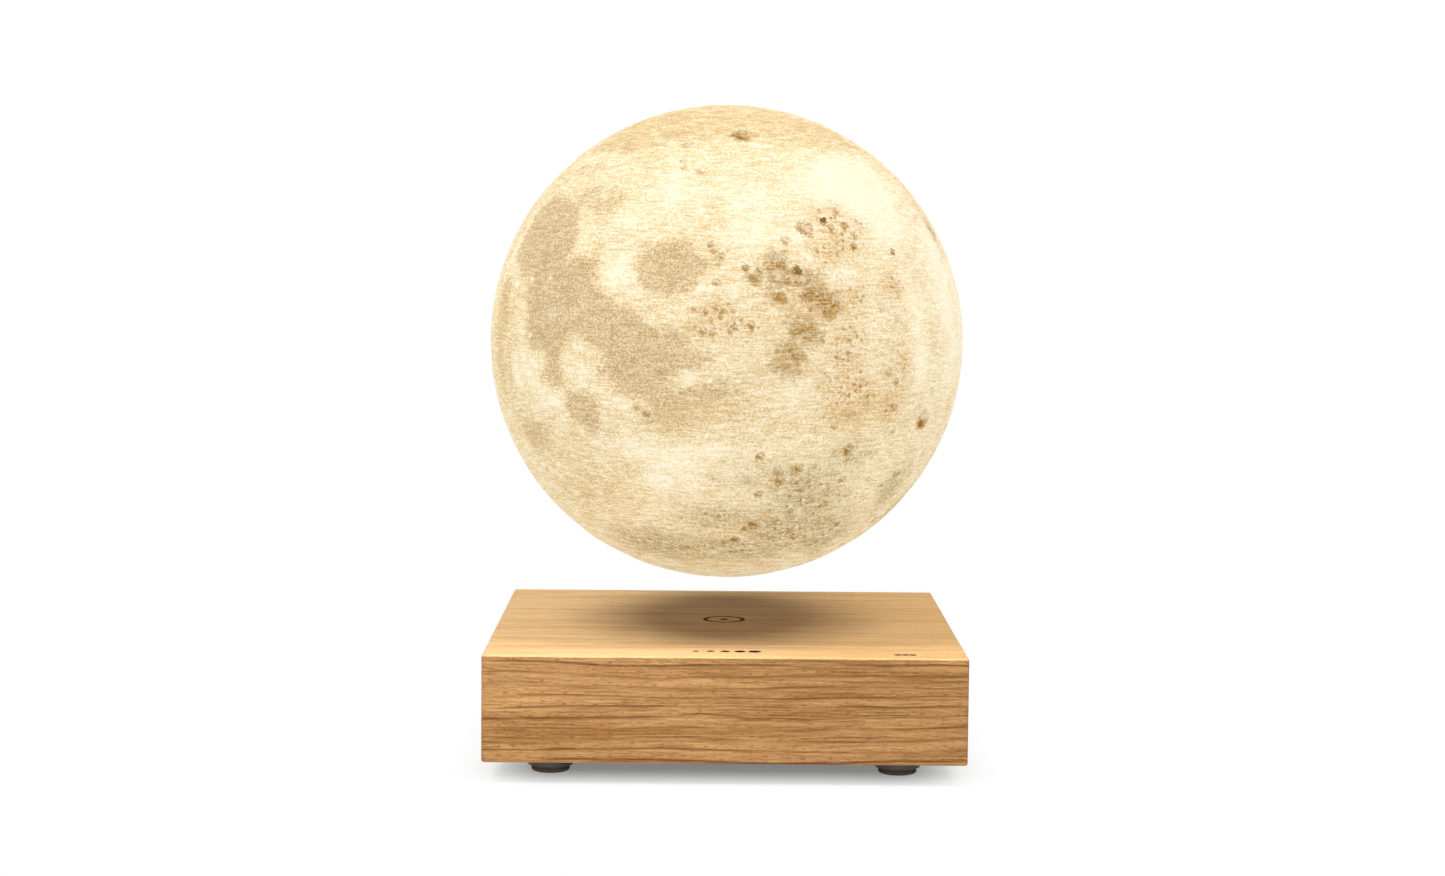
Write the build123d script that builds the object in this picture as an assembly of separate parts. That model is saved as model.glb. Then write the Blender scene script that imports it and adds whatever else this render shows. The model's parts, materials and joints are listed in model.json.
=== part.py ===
from build123d import *
import os
from math import asin, cos, sqrt

# Moon lamp: a printed moon globe that hovers over an oak base. Millimetres, +Z up.
# The origin is on the ground under the middle of the lamp, and the front faces -Y.

# Whole lamp
base_side = 144
base_height = 32
foot_height = 6
moon_radius = 75
hover_gap = 14.7            # from the top of the base to the lowest point of the moon

# Clearances
slip_clearance = 0.15       # between pieces that go together by hand
press_clearance = 0.05      # between pieces that are pressed or screwed together
running_clearance = 0.3     # beside a piece that moves, and over a piece that is not held down
overrun = 1                 # how far a cut runs past the face that it opens

# Oak base block, hollowed from below with solid corners
block_wall = 8
block_top = 3.5
block_edge = 0.5
insert_wall = 3.6           # oak left between a foot's insert and the pocket

# Engraved marks on the top of the block
mark_depth = 0.3
ring_mark_radius = 6.5
ring_mark_line = 0.8
ring_mark_dot = 1.1
ring_mark_back = 4.5        # how far behind the middle the ring lies
scale_mark_count = 5
scale_mark_pitch = 4.4
scale_mark_first = 0.6      # radius of the smallest dot
scale_mark_growth = 0.25    # what each dot adds to the radius of the last
scale_mark_inset = 11       # from the front edge
touch_mark_count = 3
touch_mark_pitch = 2.1
touch_mark_dot = 0.55
touch_mark_side = 18.4      # from the right edge
touch_mark_inset = 7        # from the front edge

# Bottom plate
plate_thickness = 2.5
plate_rim = 3               # width of oak left round the plate
plate_corner = 6
vent_count = 7
vent_length = 30
vent_width = 2.2
vent_pitch = 6

# Feet: a hard collar with a rubber pad pressed into it
foot_inset = 19.5           # from each side of the block to the axis of a foot
collar_height = 4.7
collar_top_radius = 6.9
collar_low_radius = 5.6
collar_taper = 1.7           # height of the tapered part, below a straight band
collar_floor = 1.4
collar_lip = 1.2
pad_radius = 5.85
pad_ring = 1.1

# Screws
foot_screw_radius = 1.5
foot_screw_head = 3
foot_screw_head_height = 1.4
small_screw_radius = 1.2
small_screw_head = 2.2
small_screw_head_height = 1.3
plate_screw_length = 12
plate_screw_share = 0.5     # place of a plate screw along its side, as a share of half the side
recess_length_share = 0.6   # cross recess, as shares of the head radius and head height
recess_width_share = 0.2
recess_depth_share = 0.6
insert_radius = 2.6
insert_length = 8

# Control board, on standoffs over the bottom plate
board_width_share = 0.69    # width and depth of the board, as shares of those of the pocket
board_depth_share = 0.53
board_thickness = 1.6
board_corner = 3
standoff_height = 3
standoff_radius = 3
board_hole_inset = 4
capacitor_radius = 3.1
capacitor_height = 5
capacitor_base = 6.4
capacitor_base_height = 0.8
capacitor_shares = [(-0.7, 0.62), (-0.42, 0.62), (-0.65, 0.3), (0.68, 0.1)]
chip_height = 1.2
main_chip_side = 9
driver_chip_width = 5
driver_chip_depth = 4
driver_chip_shares = [(-0.3, -0.1), (0.3, -0.1), (-0.3, -0.45), (0.3, -0.45)]
inductor_side = 10
inductor_corner = 2
inductor_height = 4
inductor_place_share = (0.6, 0.5)
socket_width = 8
socket_depth = 6
socket_height = 4.4
socket_edge = 1.5           # from the edge of the board to a socket
socket_slot_share = 0.7     # width and height of the mouth, as a share of the socket
socket_slot_depth = 2

# Levitation module
frame_radius_share = 0.78   # of half the pocket
frame_wall = 1.5
frame_floor = 1.2
frame_headroom = 0.9        # between the capacitors and the underside of the frame
inner_wall_share = 0.685    # radius of the inner wall, as a share of the frame radius
inner_wall = 1.2
leg_radius = 3.5
iron_thickness = 1.2
bobbin_radius_share = 0.35  # of the space inside the inner wall
bobbin_gap = 0.85           # between a bobbin and the inner wall
bobbin_flange = 1
bobbin_wall = 1.2
winding_depth = 0.5         # how far the wire stays inside the bobbin flange
core_radius = 4
hall_post_radius = 3
hall_post_share = 0.5       # of the depth of the frame
hall_board_gap = 1          # between the sensor board and the bobbins
hall_board_thickness = 1
hall_sensor_width = 4
hall_sensor_depth = 3
hall_sensor_height = 1.5
hall_sensor_places_share = [(0, 0.5), (0.5, -0.3), (-0.5, -0.3)]
cover_thickness = 1
transmit_outer_share = 0.62     # radii of the flat coil, as shares of the frame radius
transmit_inner_share = 0.4
transmit_thickness = 1

# Power inlet at the back, for a plug of 5.5 mm over a pin of 2.1 mm
jack_nut_gap = 2.5          # between the bottom plate and the nut of the inlet
jack_flange_radius = 6
jack_flange = 1.6
jack_recess = 2
jack_barrel_radius = 4
jack_length = 12
jack_plug_radius = 2.9
jack_plug_depth = 9.5
jack_pin_radius = 1.05
jack_pin_setback = 1        # from the mouth of the inlet to the tip of its pin
jack_terminal = 3.5         # how far the terminals stand out behind the inlet
jack_contact_radius = 0.8   # of both terminals
jack_contact_offset = 2.9
jack_nut_radius = 6
jack_nut_thickness = 2

# Touch switch under the front right corner
touch_bore_share = 0.65     # of the oak between the foot's insert and the front face
touch_skin = 2              # oak left over the sensor
touch_pad_thickness = 0.8
touch_spring_radius = 3.2
touch_spring_wire = 0.3
touch_spring_length = 9
touch_spring_pitch = 1.8
touch_board_thickness = 1.2
touch_slot_width = 4
touch_slot_height = 6
touch_slot_back = 3         # from the axis of the sensor to the middle of its wire slot
touch_socket_share = 0.4    # place of the touch socket, as a share of half the board's width

# Leads
lead_radius = 0.7
lead_spacing = 2.2
lead_bend = 2

# Moon globe
shell_wall = 2
cap_wall = 2                # of the piece that closes the bottom of the globe
cap_floor = 6.5             # thickness of the cap at its lowest point
collar_wall = 2.2           # ring inside the shell that the cap slides into
hook_count = 3
hook_angle = 60             # degrees from the first screw boss to the first hook
hook_width = 8
hook_reach = 1.7
hook_height = 1.5
crater_depth_share = 0.0055
# Larger craters: longitude and latitude in degrees, and rim radius as a share of the moon radius
crater_shares = [
    (-24.3, 18.1, 0.045), (-9.1, -5.5, 0.04), (21.0, 29.4, 0.05), (30.3, 41.5, 0.07),
    (6.1, 59.7, 0.085), (-18.8, 55.6, 0.05), (-8.7, 45.9, 0.04), (56.8, -16.7, 0.075),
    (31.9, -22.3, 0.06), (19.3, -27.4, 0.075), (9.1, -24.3, 0.05), (9.4, -34.6, 0.08),
    (10.6, -46.2, 0.09), (29.7, -45.5, 0.075), (-15.3, -36.3, 0.08), (-38.0, -38.0, 0.07),
    (53.5, -35.2, 0.07), (-64.2, -25.1, 0.06), (74.0, 20.0, 0.07), (-66.0, 43.0, 0.06),
    (105.0, -12.0, 0.1), (122.0, 24.0, 0.08), (145.0, -36.0, 0.1), (168.0, 8.0, 0.09),
    (-158.0, 38.0, 0.1), (-141.0, -8.0, 0.08), (-118.0, 22.0, 0.09), (-104.0, -30.0, 0.1),
]

# Pieces inside the globe
magnet_radius = 20
magnet_height = 8
magnet_edge = 0.5
seat_ring_wall = 1.7
seat_ring_height = 6
boss_count = 3
boss_radius = 2.8
retainer_thickness = 2
receiver_width = 5.1
receiver_gap = 0.4          # round the flat coil and beside the screw bosses
receiver_thickness = 1.6
ferrite_thickness = 0.8
receiver_board_radius = 20
receiver_standoff = 3
receiver_standoff_radius = 2.5
receiver_standoff_share = 0.775     # reach of a standoff, as a share of the board's radius
receiver_standoff_angle = 60        # degrees from the first screw boss to the first standoff
receiver_chip_side = 5
receiver_part_height = 2.5
receiver_part_radius = 2.2
receiver_part_reach_share = 0.65
moon_screw_length = 6
post_radius = 6
post_wall = 1.6
post_height = 42
post_flange_radius = 15
post_flange = 2
led_board_gap = 1.6         # between the board and the dome round it
led_board_thickness = 1.6
led_count = 8
led_reach_share = 0.7       # of the board's radius
led_width = 3.5
led_depth = 2.8
led_height = 0.8
diffuser_wall = 1.4
led_lead_gap = 0.9          # between the post and the leads beside it

# Levels of the base
base_bottom = foot_height
base_top = base_bottom + base_height
plate_top = base_bottom + plate_thickness
pocket_ceiling = base_top - block_top
board_bottom = plate_top + standoff_height
board_top = board_bottom + board_thickness
frame_bottom = board_top + capacitor_height + frame_headroom
frame_inside = frame_bottom + frame_floor
cover_top = pocket_ceiling - running_clearance - transmit_thickness
frame_rim = cover_top - cover_thickness
iron_top = frame_inside + iron_thickness
coil_top = frame_rim - running_clearance
magnet_ring_top = coil_top - running_clearance
hall_board_bottom = frame_inside + hall_post_share * (frame_rim - frame_inside)
jack_axis = plate_top + jack_nut_gap + jack_nut_radius
touch_ceiling = base_top - touch_skin
touch_pad_bottom = touch_ceiling - touch_pad_thickness
touch_board_top = touch_pad_bottom - touch_spring_length

# Plan of the base
block_half = base_side / 2
pocket_half = block_half - block_wall
rebate_half = block_half - plate_rim
plate_half = rebate_half - slip_clearance
foot_place = block_half - foot_inset
corner_reach = foot_place * sqrt(2) - insert_radius - insert_wall   # beyond it the corners stay solid
plate_screw_place = (pocket_half + rebate_half) / 2
plate_screw_spread = plate_screw_share * block_half
board_width = 2 * pocket_half * board_width_share
board_depth = 2 * pocket_half * board_depth_share
board_hole_x = board_width / 2 - board_hole_inset
board_hole_y = board_depth / 2 - board_hole_inset
frame_radius = pocket_half * frame_radius_share
leg_reach = (frame_radius + corner_reach) / 2
inner_wall_radius = frame_radius * inner_wall_share
inner_wall_inside = inner_wall_radius - inner_wall
bobbin_radius = inner_wall_inside * bobbin_radius_share
coil_reach = inner_wall_inside - bobbin_gap - bobbin_radius
hall_board_radius = coil_reach - bobbin_radius - hall_board_gap
transmit_outer = frame_radius * transmit_outer_share
transmit_inner = frame_radius * transmit_inner_share
magnet_ring_inner = inner_wall_radius + running_clearance
magnet_ring_outer = frame_radius - frame_wall - running_clearance
barrel_outer = core_radius + press_clearance + bobbin_wall
winding_outer = bobbin_radius - winding_depth
mark_bottom = base_top - mark_depth
touch_mark_x = block_half - touch_mark_side
touch_mark_y = touch_mark_inset - block_half
touch_room = (block_half - foot_place - insert_radius) / 2
touch_bore_radius = touch_room * touch_bore_share
touch_pad_radius = touch_bore_radius - running_clearance
touch_y = touch_room - block_half
touch_slot_y = touch_y + touch_slot_back
jack_floor = block_half - jack_recess
jack_mouth = jack_floor + jack_flange
jack_rear = jack_floor - jack_length
socket_y = board_depth / 2 - socket_edge - socket_depth / 2
touch_socket_x = board_width / 2 * touch_socket_share

# Plan of the globe
seat_ring_inner = magnet_radius + running_clearance
seat_ring_outer = seat_ring_inner + seat_ring_wall
receiver_inner = seat_ring_outer + receiver_gap
receiver_outer = receiver_inner + receiver_width
boss_reach = receiver_outer + receiver_gap + boss_radius
cap_inside = boss_reach + boss_radius + receiver_gap
cap_radius = cap_inside + cap_wall
receiver_standoff_reach = receiver_board_radius * receiver_standoff_share
led_board_radius = post_flange_radius - diffuser_wall - led_board_gap
led_reach = led_board_radius * led_reach_share
led_lead_reach = post_radius + led_lead_gap + lead_radius

# Levels of the globe
moon_bottom = base_top + hover_gap
moon_centre = moon_bottom + moon_radius
cap_floor_top = moon_bottom + cap_floor
magnet_bottom = cap_floor_top + running_clearance
magnet_top = magnet_bottom + magnet_height
retainer_bottom = magnet_top + running_clearance
retainer_top = retainer_bottom + retainer_thickness
cap_rim = retainer_top - press_clearance
hook_bottom = cap_rim - hook_height
collar_top = hook_bottom - slip_clearance
ferrite_bottom = retainer_bottom - ferrite_thickness
receiver_bottom = ferrite_bottom - receiver_thickness
receiver_board_bottom = retainer_top + receiver_standoff
receiver_board_top = receiver_board_bottom + board_thickness
flange_top = retainer_top + post_height
led_board_top = flange_top + led_board_thickness


def cylinder(radius, bottom, top, x=0, y=0):
    """Upright cylinder between two levels."""
    disc = Pos(x, y, bottom) * Circle(radius)
    return extrude(disc, top - bottom, dir=(0, 0, 1))


def ring(outer, inner, bottom, top, x=0, y=0):
    """Upright ring between two levels."""
    disc = Pos(x, y, bottom) * (Circle(outer) - Circle(inner))
    return extrude(disc, top - bottom, dir=(0, 0, 1))


def block(width, depth, bottom, top, x=0, y=0, corner=0):
    """Upright block between two levels, its upright edges rounded where a corner is given."""
    outline = RectangleRounded(width, depth, corner) if corner else Rectangle(width, depth)
    return extrude(Pos(x, y, bottom) * outline, top - bottom, dir=(0, 0, 1))


def along_y(radius, near, far, x=0, z=0):
    """Cylinder that lies along Y between two places."""
    disc = Plane((x, near, z), x_dir=(1, 0, 0), z_dir=(0, 1, 0)) * Circle(radius)
    return extrude(disc, far - near, dir=(0, 1, 0))


def cone(low_radius, high_radius, bottom, top, x=0, y=0):
    """Upright cone between two levels."""
    solid = Cone(low_radius, high_radius, top - bottom)
    return Pos(x, y, (bottom + top) / 2) * solid


def four_corners(x, y):
    """The four mirrored places of one point."""
    return [(-x, -y), (x, -y), (x, y), (-x, y)]


def on_circle(count, reach, start=0):
    """Places evenly spaced round the axis of the lamp."""
    return [tuple(place.position)[:2] for place in PolarLocations(reach, count, start)]


def group(pieces):
    """Separate solids that share one node."""
    return Part() + list(pieces)


def screw(x, y, head_face, seat, tip, head_radius, shank_radius):
    """Upright screw: the head lies between its face and its seat, and the shank runs on to the tip."""
    head = cylinder(head_radius, min(head_face, seat), max(head_face, seat), x, y)
    shank = cylinder(shank_radius, min(seat, tip), max(seat, tip), x, y)
    recess_end = head_face + recess_depth_share * (seat - head_face)
    outside = head_face + (head_face - seat)
    long_side = 2 * head_radius * recess_length_share
    short_side = 2 * head_radius * recess_width_share
    low, high = min(outside, recess_end), max(outside, recess_end)
    cross = block(long_side, short_side, low, high, x, y) + block(short_side, long_side, low, high, x, y)
    return head + shank - cross


def lead(points, radius=lead_radius, bend=lead_bend):
    """Round insulated wire along straight runs joined by arcs."""
    path = FilletPolyline(*points, radius=bend) if len(points) > 2 else Line(*points)
    section = Plane(origin=path @ 0, z_dir=path % 0) * Circle(radius)
    return sweep(section, path)


def foot_places():
    return four_corners(foot_place, foot_place)


def plate_screw_places():
    """Two screws along each side of the bottom plate."""
    sides = []
    for offset in (-plate_screw_spread, plate_screw_spread):
        sides += [(offset, -plate_screw_place), (offset, plate_screw_place)]
        sides += [(-plate_screw_place, offset), (plate_screw_place, offset)]
    return sides


def leg_places():
    leg_offset = leg_reach / sqrt(2)
    return four_corners(leg_offset, leg_offset)


def coil_places():
    coil_offset = coil_reach / sqrt(2)
    return four_corners(coil_offset, coil_offset)


def engraved_marks():
    """Ring with a dot under the moon, a row of growing dots at the front and three touch dots."""
    above = base_top + overrun
    ring_mark_inner = ring_mark_radius - ring_mark_line
    marks = ring(ring_mark_radius, ring_mark_inner, mark_bottom, above, 0, ring_mark_back)
    marks += cylinder(ring_mark_dot, mark_bottom, above, 0, ring_mark_back)
    for index in range(scale_mark_count):
        x = (index - (scale_mark_count - 1) / 2) * scale_mark_pitch
        radius = scale_mark_first + index * scale_mark_growth
        marks += cylinder(radius, mark_bottom, above, x, scale_mark_inset - block_half)
    for index in range(touch_mark_count):
        x = touch_mark_x + (index - (touch_mark_count - 1) / 2) * touch_mark_pitch
        marks += cylinder(touch_mark_dot, mark_bottom, above, x, touch_mark_y)
    return marks


def base_block():
    """Oak block with a pocket for the works, a rebate for the plate and solid corners for the feet."""
    below = base_bottom - overrun
    body = block(base_side, base_side, base_bottom, base_top)
    body = chamfer(body.edges(), block_edge)
    pocket = block(2 * pocket_half, 2 * pocket_half, below, pocket_ceiling)
    pocket = pocket & cylinder(corner_reach, below, pocket_ceiling)
    body -= pocket
    body -= block(2 * rebate_half, 2 * rebate_half, below, plate_top, 0, 0, plate_corner)
    for x, y in foot_places():
        body -= cylinder(insert_radius + press_clearance, below, plate_top + insert_length, x, y)
    screw_end = base_bottom + plate_screw_length + press_clearance
    for x, y in plate_screw_places():
        body -= cylinder(small_screw_radius + press_clearance, below, screw_end, x, y)
    body -= cylinder(touch_bore_radius, below, touch_ceiling, touch_mark_x, touch_y)
    slot_width = touch_mark_x - touch_socket_x
    slot_middle = (touch_mark_x + touch_socket_x) / 2
    slot_top = plate_top + touch_slot_height
    body -= block(slot_width, touch_slot_width, below, slot_top, slot_middle, touch_slot_y)
    nut_room = jack_nut_radius + slip_clearance
    body -= block(2 * nut_room, pocket_half, below, jack_axis + nut_room, 0, pocket_half / 2)
    body -= along_y(jack_barrel_radius + slip_clearance, 0, block_half + overrun, 0, jack_axis)
    body -= along_y(jack_flange_radius + slip_clearance, jack_floor, block_half + overrun, 0, jack_axis)
    return body - engraved_marks()


def bottom_plate():
    """Flat cover with vents, let into the underside of the block."""
    below = base_bottom - overrun
    above = plate_top + overrun
    plate = block(2 * plate_half, 2 * plate_half, base_bottom, plate_top, 0, 0, plate_corner)
    for x, y in foot_places():
        plate -= cylinder(foot_screw_radius + slip_clearance, below, above, x, y)
    for x, y in plate_screw_places() + leg_places():
        plate -= cylinder(small_screw_radius + slip_clearance, below, above, x, y)
        seat = base_bottom + small_screw_head_height
        plate -= cylinder(small_screw_head + slip_clearance, below, seat, x, y)
    for index in range(vent_count):
        y = (index - (vent_count - 1) / 2) * vent_pitch
        slot = SlotOverall(vent_length, vent_width)
        plate -= extrude(Pos(0, y, below) * slot, above - below, dir=(0, 0, 1))
    return plate


def foot_collar(x, y):
    """Collar that tapers below its band, with a pocket for the screw head and the rubber pad."""
    bottom = foot_height - collar_height
    pocket_top = foot_height - collar_floor
    band_bottom = bottom + collar_taper
    body = cone(collar_low_radius, collar_top_radius, bottom, band_bottom, x, y)
    body += cylinder(collar_top_radius, band_bottom, foot_height, x, y)
    body -= cylinder(collar_low_radius - collar_lip, bottom - overrun, pocket_top, x, y)
    return body - cylinder(foot_screw_radius + slip_clearance, bottom, foot_height + overrun, x, y)


def foot_pad(x, y):
    """Rubber disc with a ring that presses into its collar round the screw head."""
    top = foot_height - collar_height
    ring_outer = collar_low_radius - collar_lip - press_clearance
    ring_top = foot_height - collar_floor - press_clearance
    body = cylinder(pad_radius, 0, top, x, y)
    return body + ring(ring_outer, ring_outer - pad_ring, 0, ring_top, x, y)


def foot_screws():
    seat = foot_height - collar_floor
    face = seat - foot_screw_head_height
    tip = plate_top + insert_length
    screws = []
    for x, y in foot_places():
        screws.append(screw(x, y, face, seat, tip, foot_screw_head, foot_screw_radius))
    return group(screws)


def thread_inserts():
    inner = foot_screw_radius + press_clearance
    top = plate_top + insert_length
    return group(ring(insert_radius, inner, plate_top, top, x, y) for x, y in foot_places())


def plate_screws():
    seat = base_bottom + small_screw_head_height
    tip = base_bottom + plate_screw_length
    screws = []
    for x, y in plate_screw_places():
        screws.append(screw(x, y, base_bottom, seat, tip, small_screw_head, small_screw_radius))
    return group(screws)


def module_frame():
    """Round tray with two walls that hold the magnet ring, a post for the sensors and four legs."""
    frame = cylinder(frame_radius, frame_bottom, frame_inside)
    frame += ring(frame_radius, frame_radius - frame_wall, frame_bottom, frame_rim)
    frame += ring(inner_wall_radius, inner_wall_inside, frame_bottom, frame_rim)
    frame += cylinder(hall_post_radius, frame_bottom, hall_board_bottom)
    lug_start = frame_radius - frame_wall
    lug_length = leg_reach - lug_start
    lug_middle = (leg_reach + lug_start) / 2
    lug = block(lug_length, 2 * leg_radius, frame_bottom, frame_inside, lug_middle)
    for angle in (45, 135, 225, 315):
        frame += Rot(0, 0, angle) * lug
    for x, y in leg_places():
        frame += cylinder(leg_radius, plate_top, frame_inside, x, y)
        frame -= cylinder(small_screw_radius + press_clearance, plate_top - overrun, frame_bottom, x, y)
    return frame


def frame_screws():
    seat = base_bottom + small_screw_head_height
    tip = frame_bottom - leg_radius
    screws = []
    for x, y in leg_places():
        screws.append(screw(x, y, base_bottom, seat, tip, small_screw_head, small_screw_radius))
    return group(screws)


def module_cover():
    """Thin lid that carries the flat power coil."""
    return cylinder(frame_radius, frame_rim, cover_top)


def magnet_ring():
    return ring(magnet_ring_outer, magnet_ring_inner, frame_inside, magnet_ring_top)


def back_iron_plate():
    """Iron disc under the four coils."""
    inner = hall_post_radius + slip_clearance
    return ring(inner_wall_inside - slip_clearance, inner, frame_inside, iron_top)


def coil_bobbin(x, y):
    """Spool with a flange at each end."""
    inner = core_radius + press_clearance
    spool = ring(barrel_outer, inner, iron_top, coil_top, x, y)
    spool += ring(bobbin_radius, inner, iron_top, iron_top + bobbin_flange, x, y)
    return spool + ring(bobbin_radius, inner, coil_top - bobbin_flange, coil_top, x, y)


def coil_winding(x, y):
    """Copper winding between the flanges of its bobbin."""
    bottom = iron_top + bobbin_flange + press_clearance
    top = coil_top - bobbin_flange - press_clearance
    return ring(winding_outer, barrel_outer + press_clearance, bottom, top, x, y)


def coil_cores():
    return group(cylinder(core_radius, iron_top, coil_top, x, y) for x, y in coil_places())


def hall_board():
    return cylinder(hall_board_radius, hall_board_bottom, hall_board_bottom + hall_board_thickness)


def hall_sensors():
    """Three field sensors, for the two directions and the height of the moon."""
    bottom = hall_board_bottom + hall_board_thickness
    top = bottom + hall_sensor_height
    sensors = []
    for share_x, share_y in hall_sensor_places_share:
        x = share_x * hall_board_radius
        y = share_y * hall_board_radius
        sensors.append(block(hall_sensor_width, hall_sensor_depth, bottom, top, x, y))
    return group(sensors)


def board_place(shares):
    """Place on the control board from shares of its half width and half depth."""
    return shares[0] * board_width / 2, shares[1] * board_depth / 2


def control_board():
    board = block(board_width, board_depth, board_bottom, board_top, 0, 0, board_corner)
    hole = small_screw_radius + slip_clearance
    for x, y in four_corners(board_hole_x, board_hole_y):
        board -= cylinder(hole, board_bottom - overrun, board_top + overrun, x, y)
    return board


def board_standoffs():
    inner = small_screw_radius + press_clearance
    places = four_corners(board_hole_x, board_hole_y)
    return group(ring(standoff_radius, inner, plate_top, board_bottom, x, y) for x, y in places)


def board_screws():
    face = board_top + small_screw_head_height
    screws = []
    for x, y in four_corners(board_hole_x, board_hole_y):
        screws.append(screw(x, y, face, board_top, plate_top, small_screw_head, small_screw_radius))
    return group(screws)


def capacitors():
    """Cans on square plastic bases."""
    pieces = []
    for shares in capacitor_shares:
        x, y = board_place(shares)
        foot = block(capacitor_base, capacitor_base, board_top, board_top + capacitor_base_height, x, y)
        pieces.append(foot + cylinder(capacitor_radius, board_top, board_top + capacitor_height, x, y))
    return group(pieces)


def driver_chips():
    """The controller in the middle and a driver for each coil."""
    top = board_top + chip_height
    pieces = [block(main_chip_side, main_chip_side, board_top, top)]
    for shares in driver_chip_shares:
        x, y = board_place(shares)
        pieces.append(block(driver_chip_width, driver_chip_depth, board_top, top, x, y))
    return group(pieces)


def power_inductor():
    x, y = board_place(inductor_place_share)
    top = board_top + inductor_height
    return block(inductor_side, inductor_side, board_top, top, x, y, inductor_corner)


def socket(x, y, turn):
    """Wire socket whose mouth faces +Y before it is turned."""
    body = block(socket_width, socket_depth, 0, socket_height)
    slot_low = socket_height * (1 - socket_slot_share) / 2
    slot_end = socket_depth / 2 + overrun
    slot_middle = slot_end - (socket_slot_depth + overrun) / 2
    body -= block(socket_width * socket_slot_share, socket_slot_depth + overrun, slot_low,
                  socket_height - slot_low, 0, slot_middle)
    return Pos(x, y, board_top) * Rot(0, 0, turn) * body


def lead_sockets():
    """Sockets for the power, transmit coil and touch leads."""
    transmit_x = socket_edge + socket_depth / 2 - board_width / 2
    return group([
        socket(0, socket_y, 0),
        socket(transmit_x, 0, 90),
        socket(touch_socket_x, -socket_y, 180),
    ])


def socket_seat():
    """Distance from the middle of a socket to the floor of its mouth, and the level of its leads."""
    return socket_depth / 2 - socket_slot_depth, board_top + socket_height / 2


def dc_jack_body():
    """Flanged barrel with the hole for the plug."""
    body = along_y(jack_barrel_radius, jack_rear, jack_floor, 0, jack_axis)
    body += along_y(jack_flange_radius, jack_floor, jack_mouth, 0, jack_axis)
    body -= along_y(jack_plug_radius, jack_mouth - jack_plug_depth, jack_mouth + overrun, 0, jack_axis)
    contact_hole = jack_contact_radius + press_clearance
    contact_end = jack_mouth - jack_plug_depth + overrun
    for x in (0, jack_contact_offset):
        body -= along_y(contact_hole, jack_rear - overrun, contact_end, x, jack_axis)
    return body


def dc_jack_contacts():
    """Centre pin with its terminal behind, and the terminal of the outer contact."""
    tail_end = jack_rear - jack_terminal
    plug_floor = jack_mouth - jack_plug_depth
    pin = along_y(jack_pin_radius, plug_floor, jack_mouth - jack_pin_setback, 0, jack_axis)
    pin += along_y(jack_contact_radius, tail_end, plug_floor, 0, jack_axis)
    outer = along_y(jack_contact_radius, tail_end, plug_floor, jack_contact_offset, jack_axis)
    return group([pin, outer])


def dc_jack_nut():
    """Hexagon nut against the inner face of the block's back wall."""
    plane = Plane((0, pocket_half - jack_nut_thickness, jack_axis), x_dir=(1, 0, 0), z_dir=(0, 1, 0))
    outline = RegularPolygon(jack_nut_radius, 6) - Circle(jack_barrel_radius + press_clearance)
    return extrude(plane * outline, jack_nut_thickness, dir=(0, 1, 0))


def power_leads():
    """Two wires from the terminals of the inlet to the socket at the back of the board."""
    seat, level = socket_seat()
    start = jack_rear - jack_terminal
    end = socket_y + seat
    wires = []
    for terminal_x, socket_x in ((0, -lead_spacing / 2), (jack_contact_offset, lead_spacing / 2)):
        route = [
            (terminal_x, start, jack_axis),
            (terminal_x, start - (start - end) / 3, jack_axis),
            (socket_x, end + (start - end) / 3, level),
            (socket_x, end, level),
        ]
        wires.append(lead(route))
    return group(wires)


def transmit_coil():
    return ring(transmit_outer, transmit_inner, cover_top, cover_top + transmit_thickness)


def transmit_leads():
    """Two wires from the flat coil over the edge of the cover and down to the left of the board."""
    seat, level = socket_seat()
    socket_x = socket_edge + socket_depth / 2 - board_width / 2
    drop_x = -frame_radius - 2 * lead_bend
    radius = transmit_thickness / 2
    height = cover_top + radius
    wires = []
    for y in (-lead_spacing / 2, lead_spacing / 2):
        coil_edge = -sqrt(transmit_outer ** 2 - y ** 2) - press_clearance
        route = [(coil_edge, y, height), (drop_x, y, height), (drop_x, y, level), (socket_x - seat, y, level)]
        wires.append(lead(route, radius))
    return group(wires)


def touch_pad():
    """Copper disc against the thin oak under the touch mark."""
    return cylinder(touch_pad_radius, touch_pad_bottom, touch_ceiling, touch_mark_x, touch_y)


def touch_spring():
    """Coil spring between the pad and its board."""
    height = touch_spring_length - 2 * touch_spring_wire - 2 * press_clearance
    path = Helix(touch_spring_pitch, height, touch_spring_radius)
    section = Plane(origin=path @ 0, z_dir=path % 0) * Circle(touch_spring_wire)
    coil = sweep(section, path)
    return Pos(touch_mark_x, touch_y, touch_board_top + touch_spring_wire + press_clearance) * coil


def touch_board():
    """Round board pressed into the bore under the spring."""
    bottom = touch_board_top - touch_board_thickness
    return cylinder(touch_bore_radius - press_clearance, bottom, touch_board_top, touch_mark_x, touch_y)


def touch_lead():
    """Wire from the touch board down its bore, along the slot and back to the front of the board."""
    seat, level = socket_seat()
    run = plate_top + touch_slot_height / 2
    end = -socket_y - seat
    route = [
        (touch_mark_x, touch_slot_y, touch_board_top - touch_board_thickness),
        (touch_mark_x, touch_slot_y, run),
        (touch_socket_x, touch_slot_y, run),
        (touch_socket_x, end - socket_depth, level),
        (touch_socket_x, end, level),
    ]
    return lead(route)


def moon_ball(radius):
    """Ball about the centre of the moon."""
    return Pos(0, 0, moon_centre) * Sphere(radius)


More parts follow.
